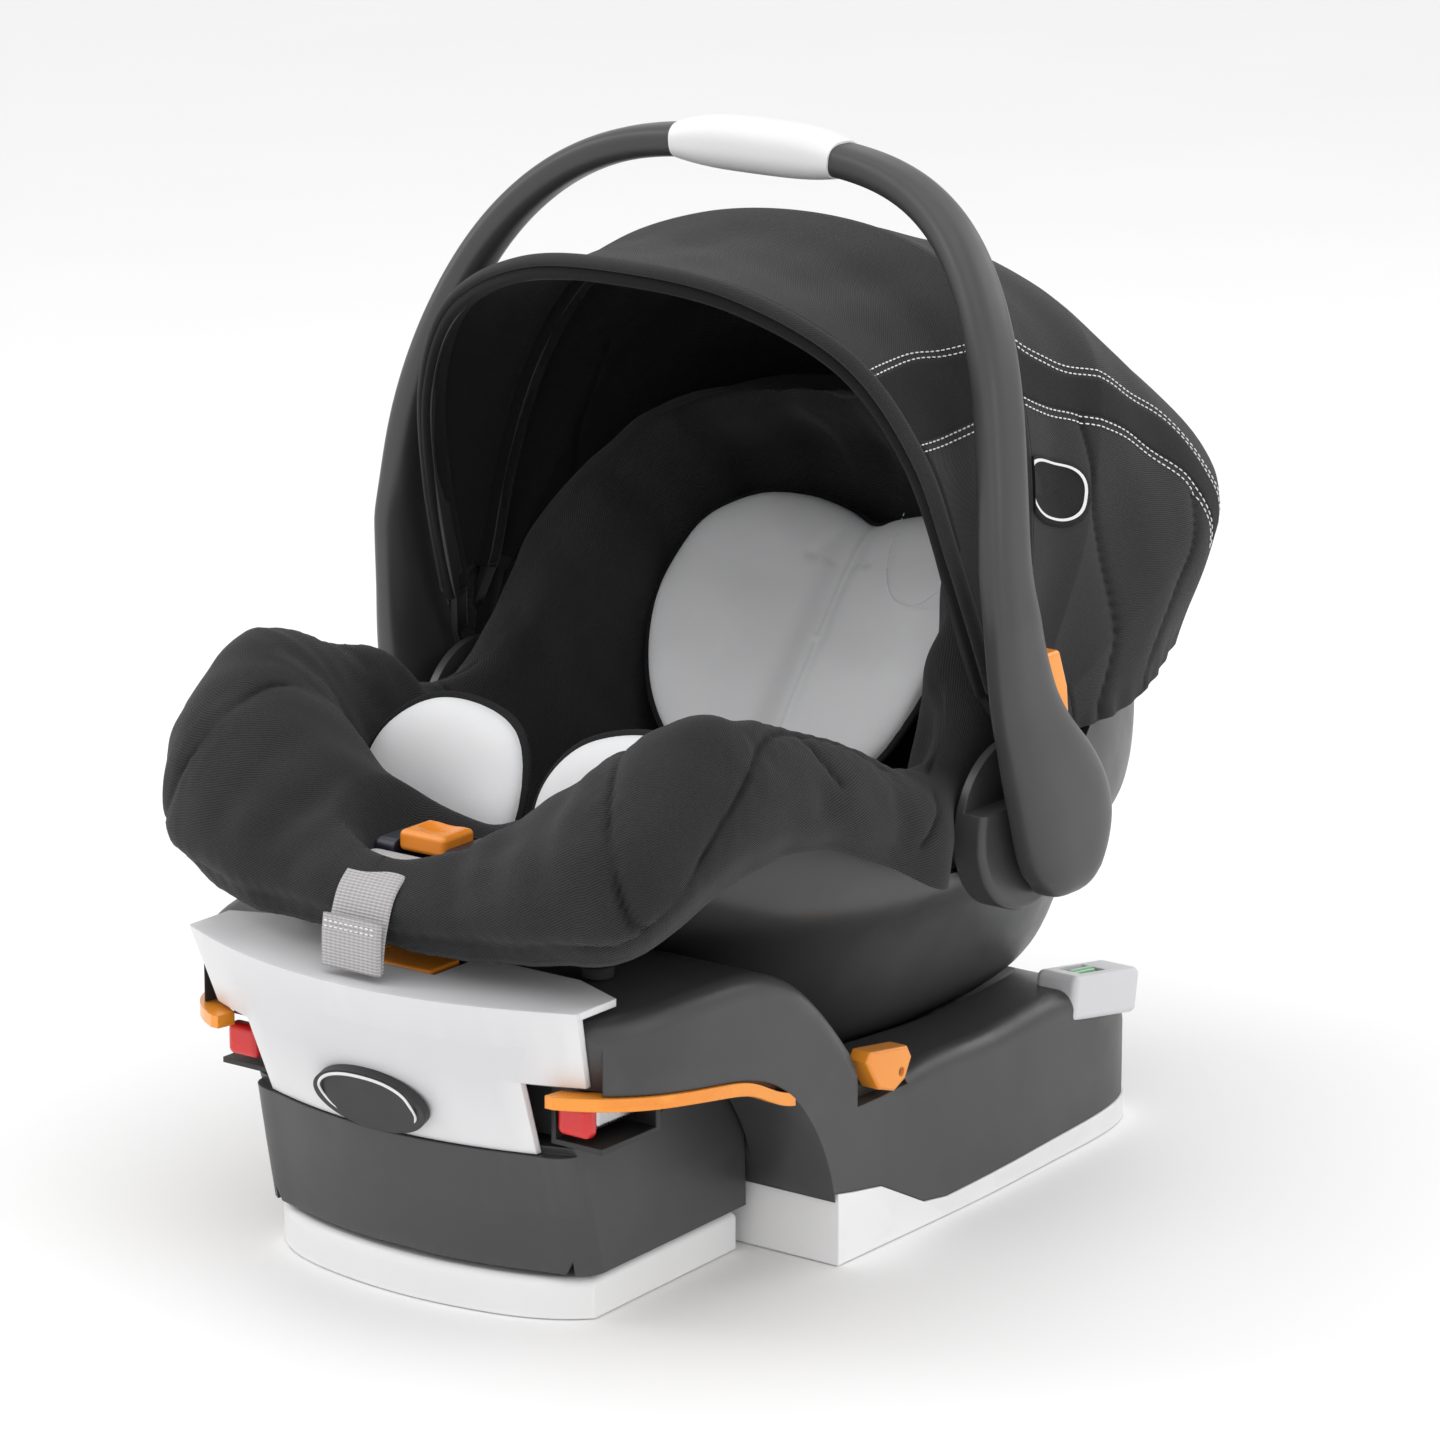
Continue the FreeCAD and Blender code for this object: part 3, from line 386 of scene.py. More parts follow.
def jersey(name, color, shade):
    """Smooth knitted jersey: soft, faint knit ribs, slight tone drift."""
    mat, nt, b = material(name)
    uv = node(nt, "ShaderNodeTexCoord")
    knit = node(nt, "ShaderNodeTexWave", wave_type="BANDS", bands_direction="X", in_Scale=420.0, in_Distortion=1.2, in_Detail=2.0)
    drift = node(nt, "ShaderNodeTexNoise", in_Scale=16.0, in_Detail=4.0)
    nt.links.new(uv.outputs["UV"], knit.inputs["Vector"])
    nt.links.new(uv.outputs["Object"], drift.inputs["Vector"])
    base = mix_color(nt, ramp(nt, knit.outputs["Fac"], 0.0, 1.0, 0.0, 0.35), color, shade)
    tone = mix_color(nt, ramp(nt, drift.outputs[0], 0.35, 0.7, 0.0, 0.35), base, shade)
    # painted shade: the jersey is darkened along the pressed-in seam grooves, standing in for the shade inside them
    seam_shade = node(nt, "ShaderNodeAttribute", attribute_name="seam_shade")
    seam_shaded = mix_color(nt, seam_shade.outputs["Fac"], tone, tuple(c * 0.35 for c in shade))
    nt.links.new(seam_shaded, b.inputs["Base Color"])
    b.inputs["Roughness"].default_value = 0.82
    b.inputs["Sheen Weight"].default_value = 0.3
    b.inputs["Sheen Roughness"].default_value = 0.4
    b.inputs["Subsurface Weight"].default_value = 0.04
    bump = node(nt, "ShaderNodeBump", in_Strength=0.35, in_Distance=0.00012)
    nt.links.new(knit.outputs["Fac"], bump.inputs["Height"])
    nt.links.new(bump.outputs[0], b.inputs["Normal"])
    return mat


def webbing(name, color, light, pitch=0.0017):
    """Ribbed polyester webbing: cross ribs and lengthwise rows on UVs in metres."""
    mat, nt, b = material(name)
    uv = node(nt, "ShaderNodeTexCoord")
    ribs = node(nt, "ShaderNodeTexWave", wave_type="BANDS", bands_direction="X", in_Scale=0.314 / pitch, in_Distortion=0.3)
    rows = node(nt, "ShaderNodeTexWave", wave_type="BANDS", bands_direction="Y", in_Scale=0.314 / (pitch * 1.8), in_Distortion=0.6)
    fuzz = node(nt, "ShaderNodeTexNoise", in_Scale=1200.0, in_Detail=2.0)
    for n in (ribs, rows):
        nt.links.new(uv.outputs["UV"], n.inputs["Vector"])
    nt.links.new(uv.outputs["Object"], fuzz.inputs["Vector"])
    h = node(nt, "ShaderNodeMath", operation="MULTIPLY_ADD")
    nt.links.new(rows.outputs["Fac"], h.inputs[0])
    h.inputs[1].default_value = 0.4
    nt.links.new(ribs.outputs["Fac"], h.inputs[2])
    base = mix_color(nt, ramp(nt, h.outputs[0], 0.1, 1.3), color, light)
    tone = mix_color(nt, ramp(nt, fuzz.outputs[0], 0.4, 0.7, 0.0, 0.3), base, light)
    nt.links.new(tone, b.inputs["Base Color"])
    b.inputs["Roughness"].default_value = 0.62
    b.inputs["Sheen Weight"].default_value = 0.2
    bump = node(nt, "ShaderNodeBump", in_Strength=0.8, in_Distance=0.00035)
    nt.links.new(h.outputs[0], bump.inputs["Height"])
    nt.links.new(bump.outputs[0], b.inputs["Normal"])
    return mat


def metal(name, color, rough=0.28):
    mat, nt, b = material(name)
    tc = node(nt, "ShaderNodeTexCoord")
    mp = node(nt, "ShaderNodeMapping")
    mp.inputs["Scale"].default_value = (40, 900, 900)
    nt.links.new(tc.outputs["Object"], mp.inputs["Vector"])
    n = node(nt, "ShaderNodeTexNoise", in_Scale=1.0, in_Detail=4.0)
    nt.links.new(mp.outputs[0], n.inputs["Vector"])
    nt.links.new(mix_color(nt, n.outputs[0], tuple(c * 0.8 for c in color), color), b.inputs["Base Color"])
    nt.links.new(ramp(nt, n.outputs[0], 0.2, 0.8, rough - 0.08, rough + 0.1), b.inputs["Roughness"])
    b.inputs["Metallic"].default_value = 1.0
    return mat


def vial_liquid(name):
    mat, nt, b = material(name)
    tc = node(nt, "ShaderNodeTexCoord")
    n = node(nt, "ShaderNodeTexNoise", in_Scale=60.0)
    nt.links.new(tc.outputs["Object"], n.inputs["Vector"])
    nt.links.new(mix_color(nt, n.outputs[0], (0.01, 0.3, 0.07), (0.03, 0.5, 0.14)), b.inputs["Base Color"])
    b.inputs["Roughness"].default_value = 0.08
    b.inputs["Coat Weight"].default_value = 0.8
    b.inputs["Transmission Weight"].default_value = 0.15
    return mat


def bead_foam(name):
    mat, nt, b = material(name)
    tc = node(nt, "ShaderNodeTexCoord")
    v = node(nt, "ShaderNodeTexVoronoi", in_Scale=260.0)
    nt.links.new(tc.outputs["Object"], v.inputs["Vector"])
    nt.links.new(mix_color(nt, ramp(nt, v.outputs["Distance"], 0.0, 0.6), (0.72, 0.72, 0.71), (0.86, 0.86, 0.85)),
                 b.inputs["Base Color"])
    b.inputs["Roughness"].default_value = 0.75
    bump = node(nt, "ShaderNodeBump", in_Strength=0.6, in_Distance=0.0006)
    nt.links.new(v.outputs["Distance"], bump.inputs["Height"])
    nt.links.new(bump.outputs[0], b.inputs["Normal"])
    return mat


MATS = {
    "dark_plastic": moulded("dark satin moulding", (0.043, 0.043, 0.045), 0.38, spread=0.08),
    "silver_plastic": moulded("silver-grey satin moulding", (0.66, 0.66, 0.675), 0.36, spread=0.03),
    "white_plastic": moulded("off-white satin moulding", (0.80, 0.80, 0.80), 0.4, spread=0.03),
    "orange_plastic": moulded("orange touch point", (0.86, 0.265, 0.018), 0.3, spread=0.05, coat=0.25),
    "black_plastic": moulded("black fine-grain moulding", (0.012, 0.012, 0.013), 0.45, spread=0.1),
    "navy_plastic": moulded("midnight satin moulding", (0.014, 0.015, 0.026), 0.36, spread=0.1),
    "red_plastic": moulded("red push button", (0.66, 0.012, 0.014), 0.25, spread=0.05, coat=0.3),
    "rubber_black": moulded("black rubber", (0.015, 0.015, 0.015), 0.7, spread=0.1, spec=0.3),
    "green_vial": vial_liquid("green level vial"),
    "steel": metal("brushed steel", (0.62, 0.62, 0.63)),
    "foam_white": bead_foam("moulded bead foam"),
    "fabric_charcoal": twill("charcoal twill", (0.0085, 0.0085, 0.0092), (0.034, 0.034, 0.036), sheen=0.1),
    "fabric_band": twill("black smooth band cloth", (0.004, 0.004, 0.0046), (0.012, 0.012, 0.013), pitch=0.0009, contrast=0.6, sheen=0.05),
    "fabric_lining": twill("black lining cloth", (0.0035, 0.0035, 0.004), (0.011, 0.011, 0.012), pitch=0.0009, contrast=0.7, sheen=0.05),
    "fabric_binding": twill("black binding tape", (0.0045, 0.0045, 0.005), (0.014, 0.014, 0.015), pitch=0.001, angle=0.0, sheen=0.05),
    "fabric_white": jersey("white jersey", (0.82, 0.82, 0.83), (0.70, 0.70, 0.72)),
    "thread_white": jersey("white topstitch thread", (0.85, 0.85, 0.85), (0.75, 0.75, 0.75)),
    "webbing_grey": webbing("grey ribbed webbing", (0.28, 0.27, 0.275), (0.52, 0.505, 0.51)),
    "webbing_black": webbing("black ribbed webbing", (0.008, 0.008, 0.009), (0.03, 0.03, 0.032)),
}


def dress(obj, slot):
    obj.data.materials.clear()
    obj.data.materials.append(MATS[slot])
    return obj


for entry in frame["record"]["subparts"]:
    part = NODES[entry["node"]]
    for k in range(max(1, len(part.data.materials))):
        if k < len(part.data.materials):
            part.data.materials[k] = MATS[entry["material_slot"]]
        else:
            part.data.materials.append(MATS[entry["material_slot"]])


# ---- camera, light, floor --------------------------------------------------------
def set_stage():
    az, el, dist, aim = math.radians(36.8), math.radians(15.2), 3.57, Vector((0, 0, 0.251))
    back = Vector((math.sin(az) * math.cos(el), -math.cos(az) * math.cos(el), math.sin(el)))
    cam = bpy.data.cameras.new("camera")
    cam.lens = 162.5
    cam.sensor_width = 36.0
    cam_obj = bpy.data.objects.new("camera", cam)
    cam_obj.location = aim + back * dist
    cam_obj.rotation_euler = (-back).to_track_quat("-Z", "Y").to_euler()
    bpy.context.scene.collection.objects.link(cam_obj)
    bpy.context.scene.camera = cam_obj

    def area(name, loc, size, power, target=(0, 0, 0.25), color=(1, 1, 1)):
        lamp = bpy.data.lights.new(name, "AREA")
        lamp.shape = "RECTANGLE"
        lamp.size, lamp.size_y = size
        lamp.energy = power
        lamp.color = color
        obj = bpy.data.objects.new(name, lamp)
        obj.location = loc
        obj.rotation_euler = (Vector(target) - Vector(loc)).to_track_quat("-Z", "Y").to_euler()
        bpy.context.scene.collection.objects.link(obj)

    area("top_soft", (0.1, -0.2, 2.4), (2.0, 2.0), 9)
    area("key_left", (-1.9, -1.2, 1.7), (0.9, 1.6), 13)
    area("fill_right", (2.2, -0.4, 1.3), (1.0, 1.6), 5)
    area("front_fill", (0.6, -2.6, 1.0), (1.8, 1.2), 3)
    area("rim_back", (0.8, 2.2, 1.6), (1.6, 1.0), 9)
    world = bpy.data.worlds.new("studio")
    bpy.context.scene.world = world
    world.use_nodes = True
    bg = world.node_tree.nodes["Background"]
    bg.inputs[0].default_value = (1, 1, 1, 1)
    bg.inputs[1].default_value = 0.93

    s = 14.0
    floor = new_object("floor", [(-s, -s, -0.0006), (s, -s, -0.0006), (s, s, -0.0006), (-s, s, -0.0006)], [(0, 1, 2, 3)])
    mat, nt, b = material("pale studio floor")
    tc = node(nt, "ShaderNodeTexCoord")
    n = node(nt, "ShaderNodeTexNoise", in_Scale=3.0)
    nt.links.new(tc.outputs["Object"], n.inputs["Vector"])
    nt.links.new(mix_color(nt, n.outputs[0], (0.93, 0.93, 0.93), (0.96, 0.96, 0.96)), b.inputs["Base Color"])
    b.inputs["Roughness"].default_value = 0.6
    b.inputs["Specular IOR Level"].default_value = 0.2
    floor.data.materials.append(mat)
    scene = bpy.context.scene
    scene.view_settings.view_transform = "Standard"
    scene.view_settings.look = "None"
    scene.view_settings.exposure = 0.0


set_stage()


# ---- seat cover -----------------------------------------------------------------
# Right-hand stations, front to back, in millimetres. Each runs from the hem over the crest
# and down inside: hem, bulge, outer crest, crest, inner lip, wall, foot.
COVER_STATIONS = [
    [(0, -294, 196), (0, -305, 218), (0, -287, 240), (0, -240, 254), (0, -212, 249), (0, -195, 215), (0, -170, 178)],
    [(60, -291, 196), (62, -304, 221), (60, -287, 246), (58, -243, 264), (56, -212, 257), (54, -192, 215), (50, -165, 176)],
    [(110, -284, 200), (115, -299, 227), (112, -285, 264), (106, -245, 298), (100, -205, 290), (96, -180, 240), (80, -150, 178)],
    [(150, -268, 210), (160, -282, 232), (157, -270, 277), (138, -232, 318), (118, -200, 302), (112, -170, 245), (88, -132, 176)],
    [(174, -225, 240), (184, -226, 262), (180, -218, 294), (155, -208, 322), (127, -190, 304), (116, -160, 245), (94, -118, 174)],
    [(181, -160, 247), (190, -160, 262), (185, -160, 287), (162, -158, 307), (138, -152, 292), (122, -138, 240), (98, -92, 170)],
    [(189, -112, 228), (195, -110, 246), (189, -108, 270), (167, -104, 287), (144, -100, 277), (126, -95, 232), (98, -60, 166)],
    [(196, -66, 205), (198, -64, 224), (191, -62, 247), (167, -60, 260), (149, -58, 253), (130, -52, 222), (96, -25, 160)],
    [(176, -30, 214), (177, -28, 228), (172, -24, 250), (158, -16, 264), (146, -10, 262), (132, -2, 236), (86, 5, 156)],
    [(176, 20, 232), (176, 18, 252), (170, 14, 284), (150, 8, 302), (134, 8, 298), (118, 22, 270), (70, 30, 168)],
    [(172, 62, 268), (172, 56, 290), (162, 48, 330), (136, 40, 352), (120, 42, 344), (106, 62, 300), (84, 52, 170)],
    [(160, 120, 330), (158, 108, 348), (142, 92, 376), (118, 84, 390), (102, 90, 382), (92, 140, 320), (78, 60, 160)],
    [(110, 190, 392), (106, 170, 398), (96, 142, 402), (80, 128, 404), (68, 132, 396), (62, 180, 330), (50, 50, 158)],
    [(0, 206, 398), (0, 186, 404), (0, 152, 404), (0, 140, 408), (0, 146, 400), (0, 182, 330), (0, 60, 168)],
]
COVER_CENTRE = (0, -60, 140)
# Seams as (station, ring) points on the right-hand side; each is mirrored to the left.
COVER_SEAMS = [
    [(0, 0.42), (1, 0.42), (2, 0.44), (2.8, 0.55), (3.3, 0.9), (3.7, 1.5), (4.2, 2.3), (4.7, 2.75), (5.1, 2.9), (5.7, 2.85), (6.3, 2.6)],
    [(2.05, 4.6), (2.1, 4.0), (2.2, 3.2), (2.5, 2.2), (2.85, 1.2), (3.1, 0.75)],
    [(5.1, 2.9), (5.15, 2.4), (5.25, 1.8)],
    [(6.5, 1.0), (6.9, 1.9), (7.3, 2.6), (7.9, 3.2)],
    [(7.3, 3.2), (7.2, 4.0), (7.1, 4.8), (6.9, 5.6), (6.8, 6.4)],
]
# Soft folds: the same kind of path, with half width and depth in millimetres.
COVER_FOLDS = [
    ([(0.9, 3.6), (1.0, 2.6), (1.3, 1.2)], 9, 2.2), ([(0.55, 2.9), (0.8, 1.9), (0.95, 0.9)], 8, 2.0),
    ([(1.5, 3.3), (1.7, 2.2), (1.95, 1.2)], 9, 1.8), ([(3.0, 4.2), (3.2, 3.3)], 9, 2.0),
    ([(4.2, 4.6), (4.3, 3.6), (4.2, 2.7)], 9, 2.4), ([(5.5, 4.2), (5.4, 3.3)], 8, 2.0),
    ([(6.1, 2.2), (6.2, 1.2), (6.1, 0.6)], 9, 1.8), ([(5.0, 1.9), (4.9, 1.0)], 8, 1.6),
    ([(8.4, 5.2), (8.6, 4.2), (8.7, 3.2)], 11, 3.4), ([(9.4, 5.6), (9.5, 4.6), (9.6, 3.4)], 12, 3.6),
    ([(10.3, 5.8), (10.4, 4.8), (10.4, 3.4)], 12, 3.6), ([(11.2, 5.6), (11.3, 4.6), (11.4, 3.4)], 12, 3.2),
    ([(12.1, 5.6), (12.15, 4.4), (12.2, 3.2)], 10, 3.0), ([(12.7, 5.4), (12.7, 4.4), (12.7, 3.4)], 9, 2.6),
    ([(8.9, 4.9), (9.1, 5.5), (9.6, 6.1)], 10, 2.6), ([(10.8, 5.2), (10.6, 5.9), (10.4, 6.4)], 10, 2.4),
]


def cover_grid(around=520, down=150):
    """The cover's surface as a (around, down, 3) grid, with a sampler for (station, ring)."""
    right = np.array(COVER_STATIONS, float)
    left = right[-2:0:-1] * np.array([-1, 1, 1])
    rows = np.concatenate([right, left])
    centre = np.tile(np.array(COVER_CENTRE, float), (len(rows), 1, 1))
    rows = np.concatenate([rows, centre], axis=1)
    n, m = rows.shape[:2]
    fine = np.stack([catmull(r, 40 * (m - 1) + 1) for r in rows])
    span = np.linalg.norm(np.diff(fine, axis=1), axis=2).mean(0)
    s = np.r_[0, np.cumsum(span)]
    ring_at = np.interp(np.linspace(0, s[-1] * 0.985, down), s, np.arange(len(s)) / 40.0)
    cols = np.stack([np.stack([np.interp(ring_at, np.arange(fine.shape[1]) / 40.0, f[:, k]) for k in range(3)], 1)
                     for f in fine])
    P = np.stack([catmull(cols[:, j], around, closed=True) for j in range(down)], 1)

    def sample(station, ring):
        u = (np.asarray(station) % n) / n * around
        v = np.interp(ring, ring_at, np.arange(down))
        i, j = np.floor(u).astype(int) % around, np.minimum(np.floor(v).astype(int), down - 2)
        fu, fv = (u - np.floor(u))[..., None], (v - j)[..., None]
        a = P[i, j] * (1 - fv) + P[i, j + 1] * fv
        b = P[(i + 1) % around, j] * (1 - fv) + P[(i + 1) % around, j + 1] * fv
        return a * (1 - fu) + b * fu

    return P, sample, n


def grid_path(sample, points, count=120):
    """Points on the cover along a smooth path given as (station, ring)."""
    q = catmull(points, count)
    return sample(q[:, 0], q[:, 1])


def groove(P, path, half_width, depth, N, taper=True):
    """Pushes a surface in along a path; returns the new points and the weight used."""
    flat = P.reshape(-1, 3)
    best = np.full(len(flat), 1e9)
    at = np.zeros(len(flat))
    for k, q in enumerate(path):
        d = ((flat - q) ** 2).sum(1)
        near = d < best
        best[near] = d[near]
        at[near] = k / max(1, len(path) - 1)
    w = np.exp(-best / (half_width ** 2))
    if taper:
        w = w * np.clip(np.sin(np.clip(at, 0.03, 0.97) * math.pi) * 1.6, 0, 1)
    w = w.reshape(P.shape[:2])
    return P - N * (w * depth)[..., None], w


def outward(P, N, middle):
    """Returns the normals unchanged; no normal is flipped."""
    return N


def set_seam_shade(obj, weights):
    """Stores each point's nearness to the sewn grooves, which the materials darken as painted shade."""
    layer = obj.data.attributes.new("seam_shade", "FLOAT", "POINT")
    values = np.zeros(len(obj.data.vertices), np.float32)
    flat = np.clip(weights, 0, 1).astype(np.float32).ravel()
    values[:len(flat)] = flat
    layer.data.foreach_set("value", values)


def make_seat_cover():
    P, sample, n = cover_grid()
    N = grid_normals(P, close_u=True)
    if N[0, P.shape[1] // 3, 2] < 0:
        N = -N
    flip = grid_normals(P, close_u=True)[0, P.shape[1] // 3, 2] < 0
    dip = np.clip(1.25 - np.hypot(P[..., 0] / 46.0, (P[..., 1] + 246) / 34.0), 0, 1)
    dip = smooth(dip, 0.0, 0.5) * (P[..., 2] > 225)
    P[..., 2] -= dip * np.clip(P[..., 2] - 229, 0, 60)
    base = P.copy()
    P = P + N * (value_noise(base, 95.0, 3) * 1.6 + value_noise(base, 38.0, 5) * 0.7)[..., None]
    for path, half, depth in COVER_FOLDS:
        for sign in (1, -1):
            line = grid_path(sample, [((sign * a) % n if sign > 0 else n - a, b) for a, b in path], 60)
            shift = line + np.array([0, 0, 0.0])
            P, _ = groove(P, shift, half, depth * (1.0 if sign > 0 else 0.85), N)
            ridge = grid_path(sample, [((n - a + 0.32) if sign < 0 else a + 0.32, b) for a, b in path], 60)
            P, _ = groove(P, ridge, half, -depth * 0.45, N)
    # weights for the painted shade along the seam grooves
    seam_shade_w = np.zeros(P.shape[:2])
    for path in COVER_SEAMS:
        for sign in (1, -1):
            line = grid_path(sample, [(a if sign > 0 else n - a, b) for a, b in path], 260)
            P, w = groove(P, line, 1.7, 1.9, N, taper=False)
            P, _ = groove(P, line, 7.0, 1.3, N, taper=False)
            seam_shade_w = np.maximum(seam_shade_w, w)
    # puckers running away from the seams
    pucker = np.sin(base[..., 0] * 0.55 + value_noise(base, 60.0, 9) * 2.5) * np.sin(base[..., 1] * 0.5 + 1.0)
    near = np.zeros(P.shape[:2])
    for path in COVER_SEAMS[:2]:
        for sign in (1, -1):
            line = grid_path(sample, [(a if sign > 0 else n - a, b) for a, b in path], 120)
            _, w = groove(P, line, 14.0, 0.0, N, taper=False)
            near = np.maximum(near, w)
    P = P + N * (pucker * near * 0.5)[..., None]
    # the hem turns under
    lip = P[:, :1] + np.array([0, 0, 1.5]) - N[:, :1] * 4.5
    deep = lip + np.array([0, 0, 7.0]) - N[:, :1] * 1.5
    P = np.concatenate([deep, lip, P], axis=1)
    seam_shade_w = np.concatenate([seam_shade_w[:, :1], seam_shade_w[:, :1], seam_shade_w], axis=1)
    obj = grid_object("seat_cover_cloth", P * MM, close_u=True, flip=flip, cap=True)
    set_seam_shade(obj, seam_shade_w)
    dress(obj, "fabric_charcoal")
    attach(obj, "carrier")
    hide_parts("seat_cover", "cover_front_roll")
    return sample, n


# ---- inserts --------------------------------------------------------------------
def pillow(name, centre, ax, ay, outline, thick, slot, bend=None, seams=(), count=96, rings=34, crown=0.5):
    """A crowned pad, whose edge tape binding() makes separately; outline is a closed list of (a, b) in its own plane.
    """
    centre, ax, ay = (np.asarray(v, float) for v in (centre, ax, ay))
    ax = ax / np.linalg.norm(ax)
    az = np.cross(ax, ay)
    az /= np.linalg.norm(az)
    ay = np.cross(az, ax)
    edge = even(catmull(outline, 600, closed=True), count, closed=True)
    middle = edge.mean(0)
    r = 1 - (1 - np.linspace(1, 0.03, rings)) ** 1.15
    flat = middle + (edge - middle)[:, None] * r[None, :, None]
    height = thick * (1 - r[None, :] ** 3.0) ** crown * np.ones((count, 1))
    weights = np.zeros((count, rings))

    def place(q, h):
        q = np.asarray(q, float)
        lift = h + (bend(q[..., 0], q[..., 1]) if bend else 0.0)
        return centre + ax * q[..., :1] + ay * q[..., 1:2] + az * np.asarray(lift)[..., None]

    for path, half, depth in seams:
        line = catmull(path, 160)
        d = np.sqrt(((flat[:, :, None] - line[None, None]) ** 2).sum(-1)).min(-1)
        height = height - depth * np.exp(-(d / half) ** 2) * np.clip(height / thick, 0, 1)
        # painted shade: points along the deeper gathered seams (half width 5 mm or more) are marked for darkening
        weights = np.maximum(weights, np.exp(-(d / 1.1) ** 2) * (0.25 if half >= 5 else 0))
    height = height + value_noise(np.stack([flat[..., 0], flat[..., 1]], -1), 60.0, 21) * 0.6
    P = place(flat, height)
    obj = grid_object(name, P * MM, close_u=True, subdiv=1, cap=True)
    n = grid_normals(P, close_u=True)
    if (n[:, rings // 2] @ az).mean() < 0:
        obj.data.flip_normals()
    set_seam_shade(obj, weights)
    dress(obj, slot)
    return obj, place, edge, middle


def binding(name, place, edge, middle, width=7.0, thick=3.2):
    """Bias tape folded over a pad's edge, following its outline."""
    d = edge - middle
    d /= np.linalg.norm(d, axis=1, keepdims=True)
    path = place(edge - d * 1.0, np.full(len(edge), 0.6))
    inner = place(edge - d * 4.0, np.full(len(edge), 1.8))
    side = inner - path
    side /= np.linalg.norm(side, axis=1, keepdims=True)
    t = np.roll(path, -1, 0) - np.roll(path, 1, 0)
    t /= np.linalg.norm(t, axis=1, keepdims=True)
    up = np.cross(side, t)
    up /= np.linalg.norm(up, axis=1, keepdims=True)
    a = np.linspace(0, 2 * math.pi, 14, endpoint=False)
    ripple = 1 + 0.05 * np.sin(np.arange(len(path)) * 2.1)
    prof_s = np.sign(np.cos(a)) * np.abs(np.cos(a)) ** 0.7 * width / 2
    prof_u = np.sign(np.sin(a)) * np.abs(np.sin(a)) ** 0.7 * thick / 2
    P = path[:, None] + side[:, None] * prof_s[None, :, None] + up[:, None] * (prof_u[None, :] * ripple[:, None])[..., None]
    n, m = P.shape[:2]
    faces = []
    for i in range(n):
        for j in range(m):
            faces.append((i * m + j, i * m + (j + 1) % m, ((i + 1) % n) * m + (j + 1) % m, ((i + 1) % n) * m + j))
    length = np.r_[0, np.cumsum(np.linalg.norm(np.diff(path, axis=0), axis=1))]
    uv = np.stack([np.repeat(length, m), np.tile(np.arange(m) * 1.5, n)], 1)
    obj = new_object(name, P.reshape(-1, 3) * MM, faces, uv * MM)
    dress(obj, "fabric_binding")
    return obj


def make_inserts():
    back_up = np.array([0, 0.63, 0.777])
    back_out = np.array([0, -0.777, 0.63])

    # upper insert: two lobes joined at a gathered centre, wrapped round at the sides
    half = [(0, 92), (18, 98), (44, 101), (72, 92), (93, 66), (100, 28), (94, -14), (78, -48), (50, -72), (20, -80)]
    outline = half + [(0, -82)] + [(-a, b) for a, b in reversed(half[1:])]

    def wrap(a, b):
        return 0.0034 * np.abs(a) ** 2.0 + 3.0 * smooth(np.abs(b), 40, 100)

    seams = [([(0, 92), (0, 60), (0, 20), (0, -30), (0, -80)], 10.0, 9.0)]
    for k in (-11, -5, 5, 11):
        seams.append(([(k * 0.7, 90), (k * 1.2, 76), (k * 1.7, 62)], 3.6, 1.7))
    obj, place, edge, middle = pillow("upper_insert_pad", (0, 92, 258), (1, 0, 0), back_up, outline, 24, "fabric_white",
                                      bend=wrap, seams=seams, count=150, rings=60)
    tape = binding("upper_insert_binding", place, edge, middle, width=8.0)
    pocket = catmull([(34, 92), (35, 62), (50, 40), (74, 34), (92, 40)], 60)
    for o in (obj, tape):
        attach(o, "carrier")
    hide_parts("upper_insert")
    thread = stitches("upper_insert_stitching", even(place(pocket, 24 + 0 * pocket[:, 0]) * MM, 60), 0.002, 0.0014, 0.0003)
    dress(thread, "thread_white")
    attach(thread, "carrier")

    # lower insert: two leg lobes either side of the crotch strap, and the seat pad between them
    lobes = []
    for side in (1, -1):
        lobe = [(-50, -34), (-50, 8), (-34, 36), (-4, 46), (28, 42), (48, 20), (54, -16), (46, -48), (0, -58), (-40, -54)]
        lobe = [(side * a, b) for a, b in lobe][::side]
        name = "right" if side > 0 else "left"
        obj, place, edge, middle = pillow("lower_insert_lobe_" + name, (57 * side, -158, 239), (1, 0.0, 0.10 * side),
                                          (0, 0.34, 0.94), lobe, 19, "fabric_white", count=96, rings=36,
                                          bend=lambda a, b: 0.0045 * (a ** 2))
        tape = binding("lower_insert_binding_" + name, place, edge, middle, width=9.0)
        lobes += [obj, tape]
    seat = [(-78, -50), (-84, 0), (-70, 44), (-30, 64), (0, 66), (30, 64), (70, 44), (84, 0), (78, -50), (40, -70), (0, -60),
            (-40, -70)]
    obj, place, edge, middle = pillow("lower_insert_seat", (0, -50, 166), (1, 0, 0), (0, 1, 0.08), seat, 12, "fabric_white",
                                      count=110, rings=36, bend=lambda a, b: 0.004 * a ** 2)
    tape = binding("lower_insert_binding_seat", place, edge, middle, width=8.0)
    lobes += [obj, tape]
    for o in lobes:
        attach(o, "carrier")
    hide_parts("lower_insert")


